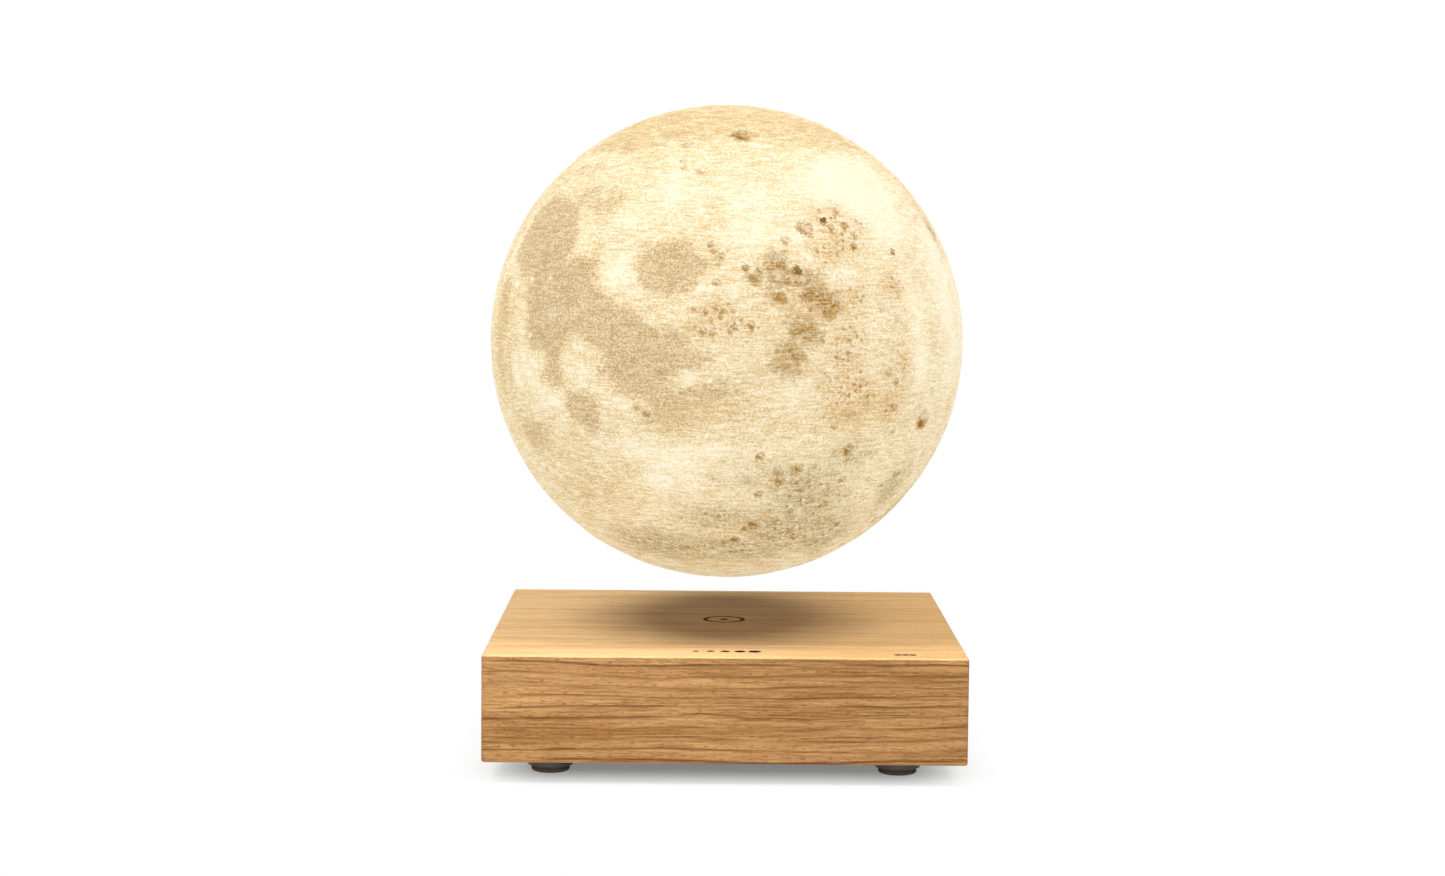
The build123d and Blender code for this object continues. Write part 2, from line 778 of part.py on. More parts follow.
def crater(longitude, latitude, rim_share):
    """Ball that cuts a shallow bowl of one rim radius into the surface of the moon."""
    rim = rim_share * moon_radius
    rim_height = moon_radius * cos(asin(rim / moon_radius))
    floor = moon_radius - crater_depth_share * moon_radius - (moon_radius - rim_height)
    ball_centre = (moon_radius ** 2 - floor ** 2) / (2 * (rim_height - floor))
    place = Rot(0, 0, longitude) * Rot(-latitude, 0, 0) * Pos(0, -ball_centre, 0)
    return Pos(0, 0, moon_centre) * place * Sphere(ball_centre - floor)


def moon_shell():
    """Hollow globe with craters, open at the bottom inside a ring that the cap slides into."""
    opening = cap_radius + slip_clearance
    collar = ring(opening + collar_wall, opening, moon_bottom, collar_top)
    collar = collar & moon_ball(moon_radius - shell_wall / 2)
    shell = moon_ball(moon_radius) - moon_ball(moon_radius - shell_wall)
    shell += collar
    shell -= cylinder(opening, moon_bottom - overrun, collar_top)
    for longitude, latitude, rim_share in crater_shares:
        shell -= crater(longitude, latitude, rim_share)
    return shell


def moon_cap():
    """Bottom of the globe: a flat floor inside for the magnet, screw bosses and hooks at the rim."""
    cap = moon_ball(moon_radius) & cylinder(cap_radius, moon_bottom - overrun, cap_rim)
    hollow = cylinder(cap_inside, cap_floor_top, cap_rim + overrun)
    cap -= hollow & moon_ball(moon_radius - shell_wall)
    seat_top = cap_floor_top + seat_ring_height
    cap += ring(seat_ring_outer, seat_ring_inner, cap_floor_top - shell_wall / 2, seat_top)
    solid_below = moon_ball(moon_radius - shell_wall / 2)
    for x, y in on_circle(boss_count, boss_reach):
        cap += cylinder(boss_radius, moon_bottom, retainer_bottom, x, y) & solid_below
        pilot_bottom = retainer_top - moon_screw_length - press_clearance
        cap -= cylinder(small_screw_radius + press_clearance, pilot_bottom, retainer_top, x, y)
    hook_middle = cap_radius + (hook_reach - cap_wall) / 2
    hook = block(hook_reach + cap_wall, hook_width, hook_bottom, cap_rim, hook_middle)
    for place in PolarLocations(0, hook_count, hook_angle):
        cap += place * hook
    return cap


def lift_magnet():
    """Disc magnet on the floor of the cap, which the base holds up."""
    return chamfer(cylinder(magnet_radius, magnet_bottom, magnet_top).edges(), magnet_edge)


def standoff_places():
    """Standoffs of the receiver board, between the screw bosses."""
    return on_circle(boss_count, receiver_standoff_reach, receiver_standoff_angle)


def magnet_retainer():
    """Disc over the magnet with standoffs for the receiver board."""
    above = retainer_top + overrun
    disc = cylinder(cap_inside - slip_clearance, retainer_bottom, retainer_top)
    for x, y in on_circle(boss_count, boss_reach):
        disc -= cylinder(small_screw_radius + slip_clearance, retainer_bottom - overrun, above, x, y)
    for x, y in standoff_places():
        disc += cylinder(receiver_standoff_radius, retainer_top, receiver_board_bottom, x, y)
        disc -= cylinder(small_screw_radius + press_clearance, retainer_top, receiver_board_bottom, x, y)
    return disc


def moon_screws():
    """Three screws through the retainer into the cap and three that hold the receiver board."""
    screws = []
    for x, y in on_circle(boss_count, boss_reach):
        face = retainer_top + small_screw_head_height
        tip = retainer_top - moon_screw_length
        screws.append(screw(x, y, face, retainer_top, tip, small_screw_head, small_screw_radius))
    for x, y in standoff_places():
        face = receiver_board_top + small_screw_head_height
        tip = retainer_top + press_clearance
        screws.append(screw(x, y, face, receiver_board_top, tip, small_screw_head, small_screw_radius))
    return group(screws)


def receiver_coil():
    return ring(receiver_outer, receiver_inner, receiver_bottom, ferrite_bottom)


def receiver_ferrite():
    return ring(receiver_outer, receiver_inner, ferrite_bottom, retainer_bottom)


def receiver_board():
    """Ring-shaped board round the foot of the light post."""
    hole = post_radius + slip_clearance
    board = ring(receiver_board_radius, hole, receiver_board_bottom, receiver_board_top)
    below = receiver_board_bottom - overrun
    above = receiver_board_top + overrun
    for x, y in standoff_places():
        board -= cylinder(small_screw_radius + slip_clearance, below, above, x, y)
    return board


def receiver_parts():
    """Rectifier chip and two capacitors."""
    reach = receiver_part_reach_share * receiver_board_radius
    top = receiver_board_top + receiver_part_height
    chip_x, chip_y = on_circle(boss_count, reach)[0]
    pieces = [block(receiver_chip_side, receiver_chip_side, receiver_board_top, top, chip_x, chip_y)]
    for x, y in on_circle(boss_count, reach)[1:]:
        pieces.append(cylinder(receiver_part_radius, receiver_board_top, top, x, y))
    return group(pieces)


def led_post():
    """Aluminium tube that carries the light source near the middle of the globe and cools it."""
    flange_bottom = flange_top - post_flange
    post = ring(post_radius, post_radius - post_wall, retainer_top, flange_top)
    post += ring(post_flange_radius, post_radius - post_wall, flange_bottom, flange_top)
    for x in (-led_lead_reach, led_lead_reach):
        post -= cylinder(lead_radius + slip_clearance, flange_bottom - overrun, flange_top + overrun, x)
    return post


def led_board():
    return cylinder(led_board_radius, flange_top, led_board_top)


def leds():
    pieces = []
    for place in PolarLocations(led_reach, led_count):
        pieces.append(place * block(led_depth, led_width, led_board_top, led_board_top + led_height))
    return group(pieces)


def led_diffuser():
    """Opal dome over the light source."""
    outer = post_flange_radius
    inner = outer - diffuser_wall
    upper_half = cylinder(outer, flange_top, flange_top + outer)
    shell = Pos(0, 0, flange_top) * (Sphere(outer) - Sphere(inner))
    return shell & upper_half


def led_leads():
    """Two wires beside the post, from the receiver board up to the light source."""
    wires = []
    for x in (-led_lead_reach, led_lead_reach):
        wires.append(cylinder(lead_radius, receiver_board_top, flange_top, x))
    return group(wires)


def all_nodes():
    """Every piece of the lamp by the name of its node."""
    nodes = {
        "base_block": base_block(),
        "bottom_plate": bottom_plate(),
        "foot_screws": foot_screws(),
        "thread_inserts": thread_inserts(),
        "plate_screws": plate_screws(),
        "module_frame": module_frame(),
        "frame_screws": frame_screws(),
        "module_cover": module_cover(),
        "magnet_ring": magnet_ring(),
        "back_iron_plate": back_iron_plate(),
        "coil_cores": coil_cores(),
        "hall_board": hall_board(),
        "hall_sensors": hall_sensors(),
        "control_board": control_board(),
        "board_standoffs": board_standoffs(),
        "board_screws": board_screws(),
        "capacitors": capacitors(),
        "driver_chips": driver_chips(),
        "power_inductor": power_inductor(),
        "lead_sockets": lead_sockets(),
        "dc_jack_body": dc_jack_body(),
        "dc_jack_contacts": dc_jack_contacts(),
        "dc_jack_nut": dc_jack_nut(),
        "power_leads": power_leads(),
        "transmit_coil": transmit_coil(),
        "transmit_leads": transmit_leads(),
        "touch_pad": touch_pad(),
        "touch_spring": touch_spring(),
        "touch_board": touch_board(),
        "touch_lead": touch_lead(),
        "lift_magnet": lift_magnet(),
        "moon_shell": moon_shell(),
        "moon_cap": moon_cap(),
        "magnet_retainer": magnet_retainer(),
        "moon_screws": moon_screws(),
        "receiver_coil": receiver_coil(),
        "receiver_ferrite": receiver_ferrite(),
        "receiver_board": receiver_board(),
        "receiver_parts": receiver_parts(),
        "led_post": led_post(),
        "led_board": led_board(),
        "leds": leds(),
        "led_diffuser": led_diffuser(),
        "led_leads": led_leads(),
    }
    for number, (x, y) in enumerate(foot_places(), 1):
        nodes[f"foot_collar_{number}"] = foot_collar(x, y)
        nodes[f"foot_pad_{number}"] = foot_pad(x, y)
    for number, (x, y) in enumerate(coil_places(), 1):
        nodes[f"coil_bobbin_{number}"] = coil_bobbin(x, y)
        nodes[f"coil_winding_{number}"] = coil_winding(x, y)
    return nodes


os.makedirs("parts", exist_ok=True)
for name, shape in all_nodes().items():
    export_step(shape, f"parts/{name}.step")
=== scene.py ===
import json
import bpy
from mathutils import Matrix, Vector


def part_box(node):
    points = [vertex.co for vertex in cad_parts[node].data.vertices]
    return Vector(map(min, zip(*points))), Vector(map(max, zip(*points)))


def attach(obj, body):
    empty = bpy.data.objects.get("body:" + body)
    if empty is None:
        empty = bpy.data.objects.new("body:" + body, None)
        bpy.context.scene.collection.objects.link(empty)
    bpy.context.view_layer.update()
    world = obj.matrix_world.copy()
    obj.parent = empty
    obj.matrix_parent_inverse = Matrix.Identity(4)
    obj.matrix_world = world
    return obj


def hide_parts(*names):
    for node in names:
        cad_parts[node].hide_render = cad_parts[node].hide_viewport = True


bl_info = {
    "name": "Levitating moon lamp",
    "version": (1, 0, 0),
    "blender": (4, 5, 0),
    "location": "3D Viewport > Sidebar > Moon Lamp",
    "description": "Dresses the frame of a levitating moon lamp: globe, oak base, feet and fittings",
    "category": "Object",
}

from math import cos, pi, radians, sin, sqrt

import bmesh
import bpy
import numpy as np
from mathutils import Matrix

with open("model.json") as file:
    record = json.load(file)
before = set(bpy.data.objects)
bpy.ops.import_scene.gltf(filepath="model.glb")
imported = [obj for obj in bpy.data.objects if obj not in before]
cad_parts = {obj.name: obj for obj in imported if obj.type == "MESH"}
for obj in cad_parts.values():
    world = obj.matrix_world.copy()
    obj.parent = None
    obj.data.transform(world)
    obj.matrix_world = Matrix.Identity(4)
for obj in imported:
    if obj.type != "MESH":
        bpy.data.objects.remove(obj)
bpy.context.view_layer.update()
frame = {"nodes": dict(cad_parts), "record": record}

MM = 0.001
slot_of = {piece["node"]: piece["material_slot"] for piece in frame["record"]["subparts"]}
_, oak_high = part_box("base_block")
OAK_TOP = oak_high[2]
moon_low, moon_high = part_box("moon_shell")
MOON_RADIUS = (moon_high[1] - moon_low[1]) / 2
MOON_CENTRE = moon_high[2] - MOON_RADIUS
MOON_INSIDE = MOON_RADIUS - 2 * MM      # radius of the hollow inside the globe's wall


def linear(code):
    """Linear colour of an sRGB hex value, with an alpha of 1."""
    shares = [int(code[place:place + 2], 16) / 255 for place in (0, 2, 4)]
    return tuple(s / 12.92 if s <= 0.04045 else ((s + 0.055) / 1.055) ** 2.4 for s in shares) + (1.0,)


MATH, RANGE, MIX = "ShaderNodeMath", "ShaderNodeMapRange", "ShaderNodeMix"
NOISE, MAPPING, COMBINE = "ShaderNodeTexNoise", "ShaderNodeMapping", "ShaderNodeCombineXYZ"
VECTOR, MIX_SHADER = "ShaderNodeVectorMath", "ShaderNodeMixShader"
# Settings that many nodes share
TIMES, TIMES_PLUS = {"operation": "MULTIPLY"}, {"operation": "MULTIPLY_ADD"}
LESS, PER = {"operation": "SUBTRACT"}, {"operation": "DIVIDE"}
HIGHER, ABSOLUTE = {"operation": "MAXIMUM"}, {"operation": "ABSOLUTE"}
SMOOTH, COLOURS = {"interpolation_type": "SMOOTHSTEP"}, {"data_type": "RGBA"}


def add(tree, kind, *values, named=None, output=None, **settings):
    """Add a node with its settings, and give one of its outputs, the first unless another is named.

    Its open inputs take values, or links from outputs, in order or by name. A list links several to one input.
    """
    node = tree.nodes.new(kind)
    for name, value in settings.items():
        setattr(node, name, value)
    pairs = list(zip([socket for socket in node.inputs if socket.enabled], values))
    pairs += [(node.inputs[name], value) for name, value in (named or {}).items()]
    for socket, value in pairs:
        for one in value if isinstance(value, list) else [value]:
            if isinstance(one, bpy.types.NodeSocket):
                tree.links.new(one, socket)
            elif one is not None:
                socket.default_value = one
    return node.outputs[output] if output else next((each for each in node.outputs if each.enabled), None)


def start_material(name, sockets):
    """Material with one Principled shader, whose constants are set on its own sockets."""
    material = bpy.data.materials.new(name)
    material.use_nodes = True
    tree = material.node_tree
    shader = tree.nodes["Principled BSDF"]
    for socket, value in sockets.items():
        shader.inputs[socket].default_value = value
    return material, tree, shader, add(tree, "ShaderNodeTexCoord", output="Object")


def finish_material(material, shader, colour, height=None, depth=0.1 * MM):
    """Link the colour of a material, and the height of its bumps where it has any."""
    tree = material.node_tree
    tree.links.new(colour, shader.inputs["Base Color"])
    if height:
        bump = add(tree, "ShaderNodeBump", named={"Height": height, "Distance": depth, "Strength": 0.6})
        tree.links.new(bump, shader.inputs["Normal"])
    return material


def in_scene(name, data):
    """New object in the scene, of a mesh, a lamp or a camera."""
    thing = bpy.data.objects.new(name, data)
    bpy.context.scene.collection.objects.link(thing)
    return thing


def show(mesh, name, body, nodes, material=None, smooth=True):
    """Put a finished mesh in the scene as one piece that rides on a body in place of its nodes."""
    piece = in_scene(name, mesh)
    if material:
        mesh.materials.clear()
        mesh.materials.append(material)
    if smooth:
        mesh.shade_smooth()
    else:
        mesh.shade_flat()
    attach(piece, body)
    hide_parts(*nodes)
    return piece


def mesh_of(name, points, faces):
    """Mesh from points and faces, with doubles merged and its faces turned outwards."""
    mesh = bpy.data.meshes.new(name)
    mesh.from_pydata([tuple(point) for point in points], [], [tuple(face) for face in faces])
    work = bmesh.new()
    work.from_mesh(mesh)
    bmesh.ops.remove_doubles(work, verts=work.verts, dist=1e-6)
    bmesh.ops.recalc_face_normals(work, faces=work.faces)
    work.to_mesh(mesh)
    work.free()
    return mesh


def turned(profile, count, x=0.0, y=0.0):
    """Points and faces of a profile of (radius, height) turned about an upright axis, closed at both ends."""
    angles = [2 * pi * step / count for step in range(count)]
    points = [(x + r * cos(a), y + r * sin(a), z) for r, z in profile for a in angles]
    faces = []
    for row in range(len(profile) - 1):
        for step in range(count):
            after = (step + 1) % count
            low, high = row * count, (row + 1) * count
            faces.append((low + step, low + after, high + after, high + step))
    faces.append(tuple(range(count)))
    last = (len(profile) - 1) * count
    faces.append(tuple(range(last, last + count)))
    return points, faces


def together(parts):
    """Join several lists of points and faces into one."""
    points, faces = [], []
    for part_points, part_faces in parts:
        start = len(points)
        points += list(part_points)
        faces += [tuple(start + corner for corner in face) for face in part_faces]
    return points, faces


# ---- relief and markings of the globe ----

OUTSIDE = -12.0     # distance in degrees that stands for anything further outside a patch

# Longitudes and latitudes are in degrees. Longitude 0 faces the front, and grows towards the right.
# Coasts of the dark plains that face the front
COASTS = [
    [(-63.5, 37.5), (-55.5, 37), (-48, 36), (-45, 31.5), (-42.5, 28), (-42.5, 23), (-44, 18.5), (-48, 15.5),
     (-54, 15), (-59, 16), (-69, 20.5), (-69.5, 23.5), (-69.5, 28), (-69.5, 32), (-68, 35.5)],
    [(-50, 19.5), (-45, 21), (-43, 20.5), (-42, 21), (-38, 22), (-34, 21), (-33.5, 16), (-32, 14),
     (-27.5, 12), (-28, 10.5), (-24.5, 10.5), (-21.5, 9), (-19, 6.5), (-15.5, 5.5), (-11, 5), (-9, 3),
     (-10, 0.5), (-6, 0), (-4.5, -1.5), (-7, -3), (-11.5, -4), (-13.5, -5.5), (-13, -8), (-15.5, -9.5),
     (-22, -10), (-25.5, -9), (-28.5, -6.5), (-31.5, -4.5), (-29, -2), (-30, 0), (-34, 2), (-38.5, 3),
     (-40.5, 1), (-42, -1.5), (-42, -5.5), (-40, -7), (-42.5, -9), (-46.5, -8.5), (-49, -6.5), (-46.5, -4),
     (-47.5, -1.5), (-52, -0.5), (-55, 2.5), (-55, 7.5), (-57, 11.5), (-57.5, 14.5), (-56, 18)],
    [(-40.5, -10), (-35, -9.5), (-32, -11.5), (-32, -14.5), (-31, -17.5), (-34.5, -19), (-36.5, -18),
     (-40, -16.5), (-41.5, -14)],
    [(-21, 24), (-17.5, 25.5), (-13.5, 26.5), (-10, 25), (-7.5, 23), (-4, 21.5), (-5, 19.5), (-7.5, 17.5),
     (-7.5, 15.5), (-9.5, 13.5), (-12.5, 13), (-15, 12.5), (-17.5, 13.5), (-20, 14.5), (-22, 16.5),
     (-23, 19.5), (-22.5, 22.5)],
]
# Oval patches: longitude, latitude, half width and half height. The plains here are on the far side.
PLAINS = [(112, 14, 12, 8), (128, 6, 8, 7), (-150, 22, 9, 6), (174, -20, 7, 5)]
# The same for plains so faint that their middle is no darker than the edge of the others
FAINT_PLAINS = [
    (-56, 55, 8, 3), (-42, 37, 8, 3), (-50, 70, 7, 2), (-56, 46, 5, 2), (-69, 12, 3, 3), (-14, -14, 6, 4),
    (-4, 21, 2, 2), (-57, -21, 5, 3), (-26, 60, 4, 2), (-3, -8, 5, 2),
]
# Duller and brighter ground, in soft patches. The broad dim patches over the top of the globe are painted shade, and
# the tall bright ones near its right edge a painted highlight
DIM = [
    (128, 36, 16, 9), (142, -22, 15, 8), (-158, -18, 14, 10), (-112, 36, 12, 9), (176, 12, 10, 12),
    # The dim patches at latitude 70 and over are painted shade over the top of the globe
    (-36, 33, 4, 2), (-50, 55, 10, 4), (10, 70, 30, 4), (-66, 8, 6, 6), (-30, 66, 14, 3), (-14, -14, 6, 4),
    (-18, -12, 5, 3), (-6, -10, 5, 3), (-3, 9, 5, 4), (-57, -21, 8, 6), (47, 57, 8, 4), (34, -13, 11, 6),
    (-42, -34, 15, 10), (0, 77, 42, 15), (-8, 72, 36, 13), (-70, 6, 4, 6), (-26, 60, 9, 4), (24, 62, 12, 5),
    (-70, 2, 3, 14), (-66, -6, 8, 12), (2, -12, 16, 6), (-28, -54, 14, 9), (2, -60, 26, 9), (-38, 17, 3, 3),
    (-25, 4, 4, 3), (6, -48, 10, 6), (140, -40, 18, 12), (-120, 10, 14, 9),
]
BRIGHT = [
    (108, 8, 14, 8), (160, -8, 16, 9), (-148, 30, 12, 7), (-122, 4, 9, 14), (-172, 44, 22, 8), (96, -22, 8, 7),
    (-68, 27, 2, 10), (-60, -6, 3, 5), (19, 22, 3, 2), (-29, 31, 7, 3), (-27, 20, 3, 4), (-22, 15, 3, 2),
    (30, 42, 9, 6), (-13, -27, 8, 5), (-28, 17, 3, 4), (-19, -32, 4, 4), (48, 14, 2, 5), (51, 5, 3, 10),
    # The tall patches from longitude 64 to 78 are a painted highlight along the right edge of the globe
    (53, -5, 4, 6), (78, 8, 6, 22), (44, 40, 16, 14), (64, 16, 9, 16), (70, 23, 6, 10), (68, 0, 6, 16),
    (-64, 28, 2, 9), (-9, -5.5, 3, 2), (16, -10, 13, 4), (-36, -5, 5, 3), (-26, -12, 3, 2),
    (-47, -12, 7, 3), (6, 28, 8, 5), (-16, 40, 6, 7), (-54, -5, 5, 4), (48, 44, 13, 13), (-2, -23, 6, 3),
    (-59, 50, 8, 6), (17, 27, 4, 2), (29, 18, 4, 3), (46, 30, 6, 7), (-23, -23, 7, 3), (1, 14, 3, 2),
    (-73, 22, 2, 9), (5, 38, 8, 5), (120, 40, 14, 10), (-160, -5, 16, 9),
]
# Rough ground: strong ochre, spotted rust and dusty grey
OCHRE = [
    (15, 17, 6.5, 2.4), (11, 20.5, 2.6, 2.2), (24, 11, 3, 3), (12, 13, 1.6, 1.2), (17, 5, 4.2, 3.4),
    (14, 0, 3, 2.2), (13, -3.5, 3, 1), (6, 18, 1, 1), (20, 14, 3, 2),
]
RUST = [
    (112, -4, 8, 4), (-140, 18, 8, 6), (172, -22, 8, 5), (132, 46, 9, 5), (-165, 2, 5, 7),
    (-3, 10, 3, 2.3), (-6, 5, 2.5, 1.7), (3, 6, 3.7, 1.1), (-5, 25, 1.8, 1.8), (31, 29, 6, 5), (29, 34, 3, 2),
    (25, 24, 5, 3), (20, 11, 6.7, 3.4), (44, -4, 3, 4), (43, 15, 3, 2), (30, 12, 3, 4), (28, -10, 8, 5),
    (42, -12, 3, 4), (74, 29, 2, 6), (28, 0, 4, 6), (150, 30, 10, 7), (-100, -12, 10, 6),
]
GREY = [
    (176, -46, 16, 7), (-95, 34, 8, 5), (120, 22, 9, 5),
    (19, -31, 9, 4), (24, -38, 9, 6), (24, -46, 14, 6), (5, -55, 12, 5), (38, -50, 8, 6), (32, -24, 3, 2),
    (-24, -54, 11, 5), (-3, -42, 6, 3), (56, -36, 3, 5), (100, -45, 20, 12), (-130, -40, 20, 12),
]
# Craters: longitude, latitude, rim radius, and how dark the bowl is, from -1 for a bright spot to 1
CRATERS = [
    (6.1, 59.7, 2.2, 0.9), (9.6, 60, 1.3, 0.5), (11.8, 60.2, 0.9, 0.5), (-17.8, 55.2, 1.3, 0.5),
    (-9.2, 45.8, 1.1, 0.5), (-16.4, 49.1, 0.9, 0.5), (-15.5, 46.5, 0.9, 0.5), (20.1, 29.2, 1.7, 0.75),
    (25.9, 31.4, 0.8, 1), (16.5, 19, 1, 0.95), (6.3, 17.3, 1.3, 0.7), (4, 19.4, 0.8, 0.9),
    (7.4, 18.9, 0.8, 0.8), (12.3, 12.6, 1.2, 0.7), (12.8, 20.5, 1, 0.6), (57, -16.8, 2, 0.86),
    (56.4, -17.8, 0.8, 1), (75, 30, 2.6, 0.45), (8.2, -24.3, 0.9, 0.8), (31.6, -23, 1.2, 0.8),
    (14.2, -30.6, 1.3, 0.7), (18.6, -27.6, 1.2, 0.7), (9, -34.9, 1, 0.7), (9, -44.4, 1.3, 0.8),
    (3.3, -50.3, 1, 0.9), (6.5, -46.3, 0.9, 0.7), (22.6, -47.4, 1.1, 0.5), (54, -30.6, 1.2, 0.5),
    (49.6, -33.5, 1, 0.5), (-0.6, -51.5, 0.8, 0.7), (20.7, -33.4, 1, 0.5), (25.4, -36.2, 1.1, 0.4),
    (-62.5, 14.2, 0.9, -0.9), (-55.7, 15.9, 0.8, -0.9), (-48.4, 16.1, 0.6, -0.8), (-37.6, 0.8, 0.7, -0.9),
    (2.4, -6, 0.6, -1), (-4.3, -6, 0.6, -1), (-53.1, 2.8, 0.6, -0.8), (19.8, 22, 0.8, -0.9),
    (-6.4, 14.9, 0.9, -0.8), (-4.2, 14.4, 0.7, -0.8), (18.7, -6.2, 0.6, -0.7), (23.6, -3.5, 0.8, -0.5),
    (-8.9, -5.6, 1.5, -0.5), (16.4, 3.3, 0.6, -0.3), (-1.2, 9.6, 0.7, 0.7), (-2.9, 10.3, 0.6, 0.6),
    (-5.2, 9.4, 0.7, 0.7), (-1.8, 8.2, 0.6, 0.6), (-4, 7.4, 0.6, 0.6), (1.2, 6, 0.8, 0.8),
    (-5.7, 5, 0.8, 0.7), (-3.3, 4.6, 0.8, 0.6), (5, 6.6, 0.8, 0.8), (-8, 10, 0.6, 0.6), (1, 9.6, 0.6, 0.5),
    (0.5, 5.2, 0.8, 0.6), (-3.6, 23.6, 0.9, 0.6), (-4.6, 25, 0.8, 0.6), (-1.7, 22.2, 0.8, 0.6),
    (14.4, 26.1, 1, 0.6), (33.2, 24.8, 0.8, 0.9), (31.9, 30, 0.9, 0.7), (31, 34, 0.8, 0.7),
    (27.6, 29.6, 0.8, 0.7), (45.9, 23.4, 0.8, 0.9), (34.5, 27.5, 0.8, 0.6), (-2.8, 16, 0.8, 0.6),
    (-10.3, -8.9, 0.8, 0.5), (-21.6, -12.4, 0.9, 0.5), (-19.2, -14, 0.8, 0.6), (26.2, -16.8, 0.9, 0.5),
    (45, -18.7, 0.8, 0.5), (40.1, -4.5, 0.9, 0.5), (42.9, -6.9, 0.9, 0.6),
]
# The wider, shallower craters that the frame's globe is cut with: rim as a share of the globe's radius
WIDE_CRATERS = [
    (-24.3, 18.1, 0.045), (-9.1, -5.5, 0.04), (21.0, 29.4, 0.05), (30.3, 41.5, 0.07),
    (6.1, 59.7, 0.085), (-18.8, 55.6, 0.05), (-8.7, 45.9, 0.04), (56.8, -16.7, 0.075),
    (31.9, -22.3, 0.06), (19.3, -27.4, 0.075), (9.1, -24.3, 0.05), (9.4, -34.6, 0.08),
    (10.6, -46.2, 0.09), (29.7, -45.5, 0.075), (-15.3, -36.3, 0.08), (-38.0, -38.0, 0.07),
    (53.5, -35.2, 0.07), (-64.2, -25.1, 0.06), (74.0, 20.0, 0.07), (-66.0, 43.0, 0.06),
    (105.0, -12.0, 0.1), (122.0, 24.0, 0.08), (145.0, -36.0, 0.1), (168.0, 8.0, 0.09),
    (-158.0, 38.0, 0.1), (-141.0, -8.0, 0.08), (-118.0, 22.0, 0.09), (-104.0, -30.0, 0.1),
]

# Relief in millimetres: rim and bowl of a small crater for each degree of its radius, and of a wide crater,
# the rough ground, and how much lower the plains lie
SMALL_RIM, SMALL_BOWL, WIDE_RIM, WIDE_BOWL = 0.07, 0.16, 0.12, 0.45
ROUGH, PLAIN_DROP = 0.12, 0.1


def direction(longitude, latitude):
    """Unit direction from the middle of the globe; works on numbers and on arrays."""
    lon, lat = np.radians(longitude), np.radians(latitude)
    return np.stack([np.sin(lon) * np.cos(lat), -np.cos(lon) * np.cos(lat), np.sin(lat)], axis=-1)


def cloud(points, size, octaves, seed):
    """Smooth solid noise between about -1 and 1 with features of one size, the same on every run."""
    table = np.random.default_rng(seed).permutation(256)
    table = np.concatenate([table, table, table])
    slopes = np.random.default_rng(seed + 1).normal(size=(256, 3))
    slopes /= np.linalg.norm(slopes, axis=1)[:, None]
    total, weight = np.zeros(len(points)), 1.0
    for octave in range(octaves):
        spot = points * (2 ** octave) / size + 17.3 * octave
        cell = np.floor(spot).astype(int)
        part = spot - cell
        ease = part ** 3 * (part * (part * 6 - 15) + 10)
        value = np.zeros(len(points))
        for dx in (0, 1):
            for dy in (0, 1):
                for dz in (0, 1):
                    corner = (cell + (dx, dy, dz)) & 255
                    slope = slopes[table[table[table[corner[:, 0]] + corner[:, 1]] + corner[:, 2]]]
                    lift = np.sum(slope * (part - (dx, dy, dz)), axis=1)
                    share = np.abs(1 - dx - ease[:, 0]) * np.abs(1 - dy - ease[:, 1]) * np.abs(1 - dz - ease[:, 2])
                    value += share * lift
        total += 1.5 * weight * value
        weight *= 0.5
    return total


def reach(directions, patches):
    """Signed distance in degrees to the nearest edge of a group of patches, positive inside."""
    best = np.full(len(directions), OUTSIDE)
    for lon, lat, half_width, half_height in patches:
        centre = direction(lon, lat)
        east = np.array([cos(radians(lon)), sin(radians(lon)), 0.0])
        north = np.cross(east, centre)
        along = directions @ centre
        sine = np.sqrt(np.maximum(1 - along ** 2, 0))
        turn = np.degrees(np.arccos(np.clip(along, -1, 1))) / np.maximum(sine, 1e-6)
        x = directions @ east * turn / half_width
        y = directions @ north * turn / half_height
        inside = (1 - np.sqrt(x * x + y * y)) * min(half_width, half_height)
        best = np.maximum(best, np.where(along > 0, inside, OUTSIDE))
    return best


def inland(directions, coasts):
    """Signed distance in degrees to the nearest of some closed coasts, positive inside."""
    best = np.full(len(directions), OUTSIDE)
    for coast in coasts:
        corners = direction(*np.array(coast, float).T)
        centre = corners.mean(axis=0)
        centre /= np.linalg.norm(centre)
        east = np.cross((0, 0, 1.0), centre)
        east /= np.linalg.norm(east)
        axes = np.stack([east, np.cross(centre, east)], axis=1)
        near = np.nonzero(directions @ centre > cos(radians(50)))[0]
        places, outline = np.degrees(directions[near] @ axes), np.degrees(corners @ axes)
        gap, inside = np.full(len(near), 99.0), np.zeros(len(near), bool)
        for start, end in zip(outline, np.roll(outline, -1, axis=0)):
            side, away = end - start, places - start
            along = np.clip(away @ side / (side @ side), 0, 1)
            gap = np.minimum(gap, np.linalg.norm(away - along[:, None] * side, axis=1))
            crosses = (start[1] > places[:, 1]) != (end[1] > places[:, 1])
            inside ^= crosses & (away[:, 0] * (end[1] - start[1]) * np.sign(end[1] - start[1])
                                 < away[:, 1] * side[0] * np.sign(end[1] - start[1]))
        best[near] = np.maximum(best[near], np.where(inside, gap, -gap))
    return best


def glow(directions, patches):
    """Soft sum of a group of patches, 1 at the middle of each and at most 1.5 where they meet."""
    total = np.zeros(len(directions))
    for patch in patches:
        inside = reach(directions, [patch]) / min(patch[2], patch[3])
        total += np.exp(-((1 - inside) / 0.9) ** 2)
    return np.minimum(total, 1.5)


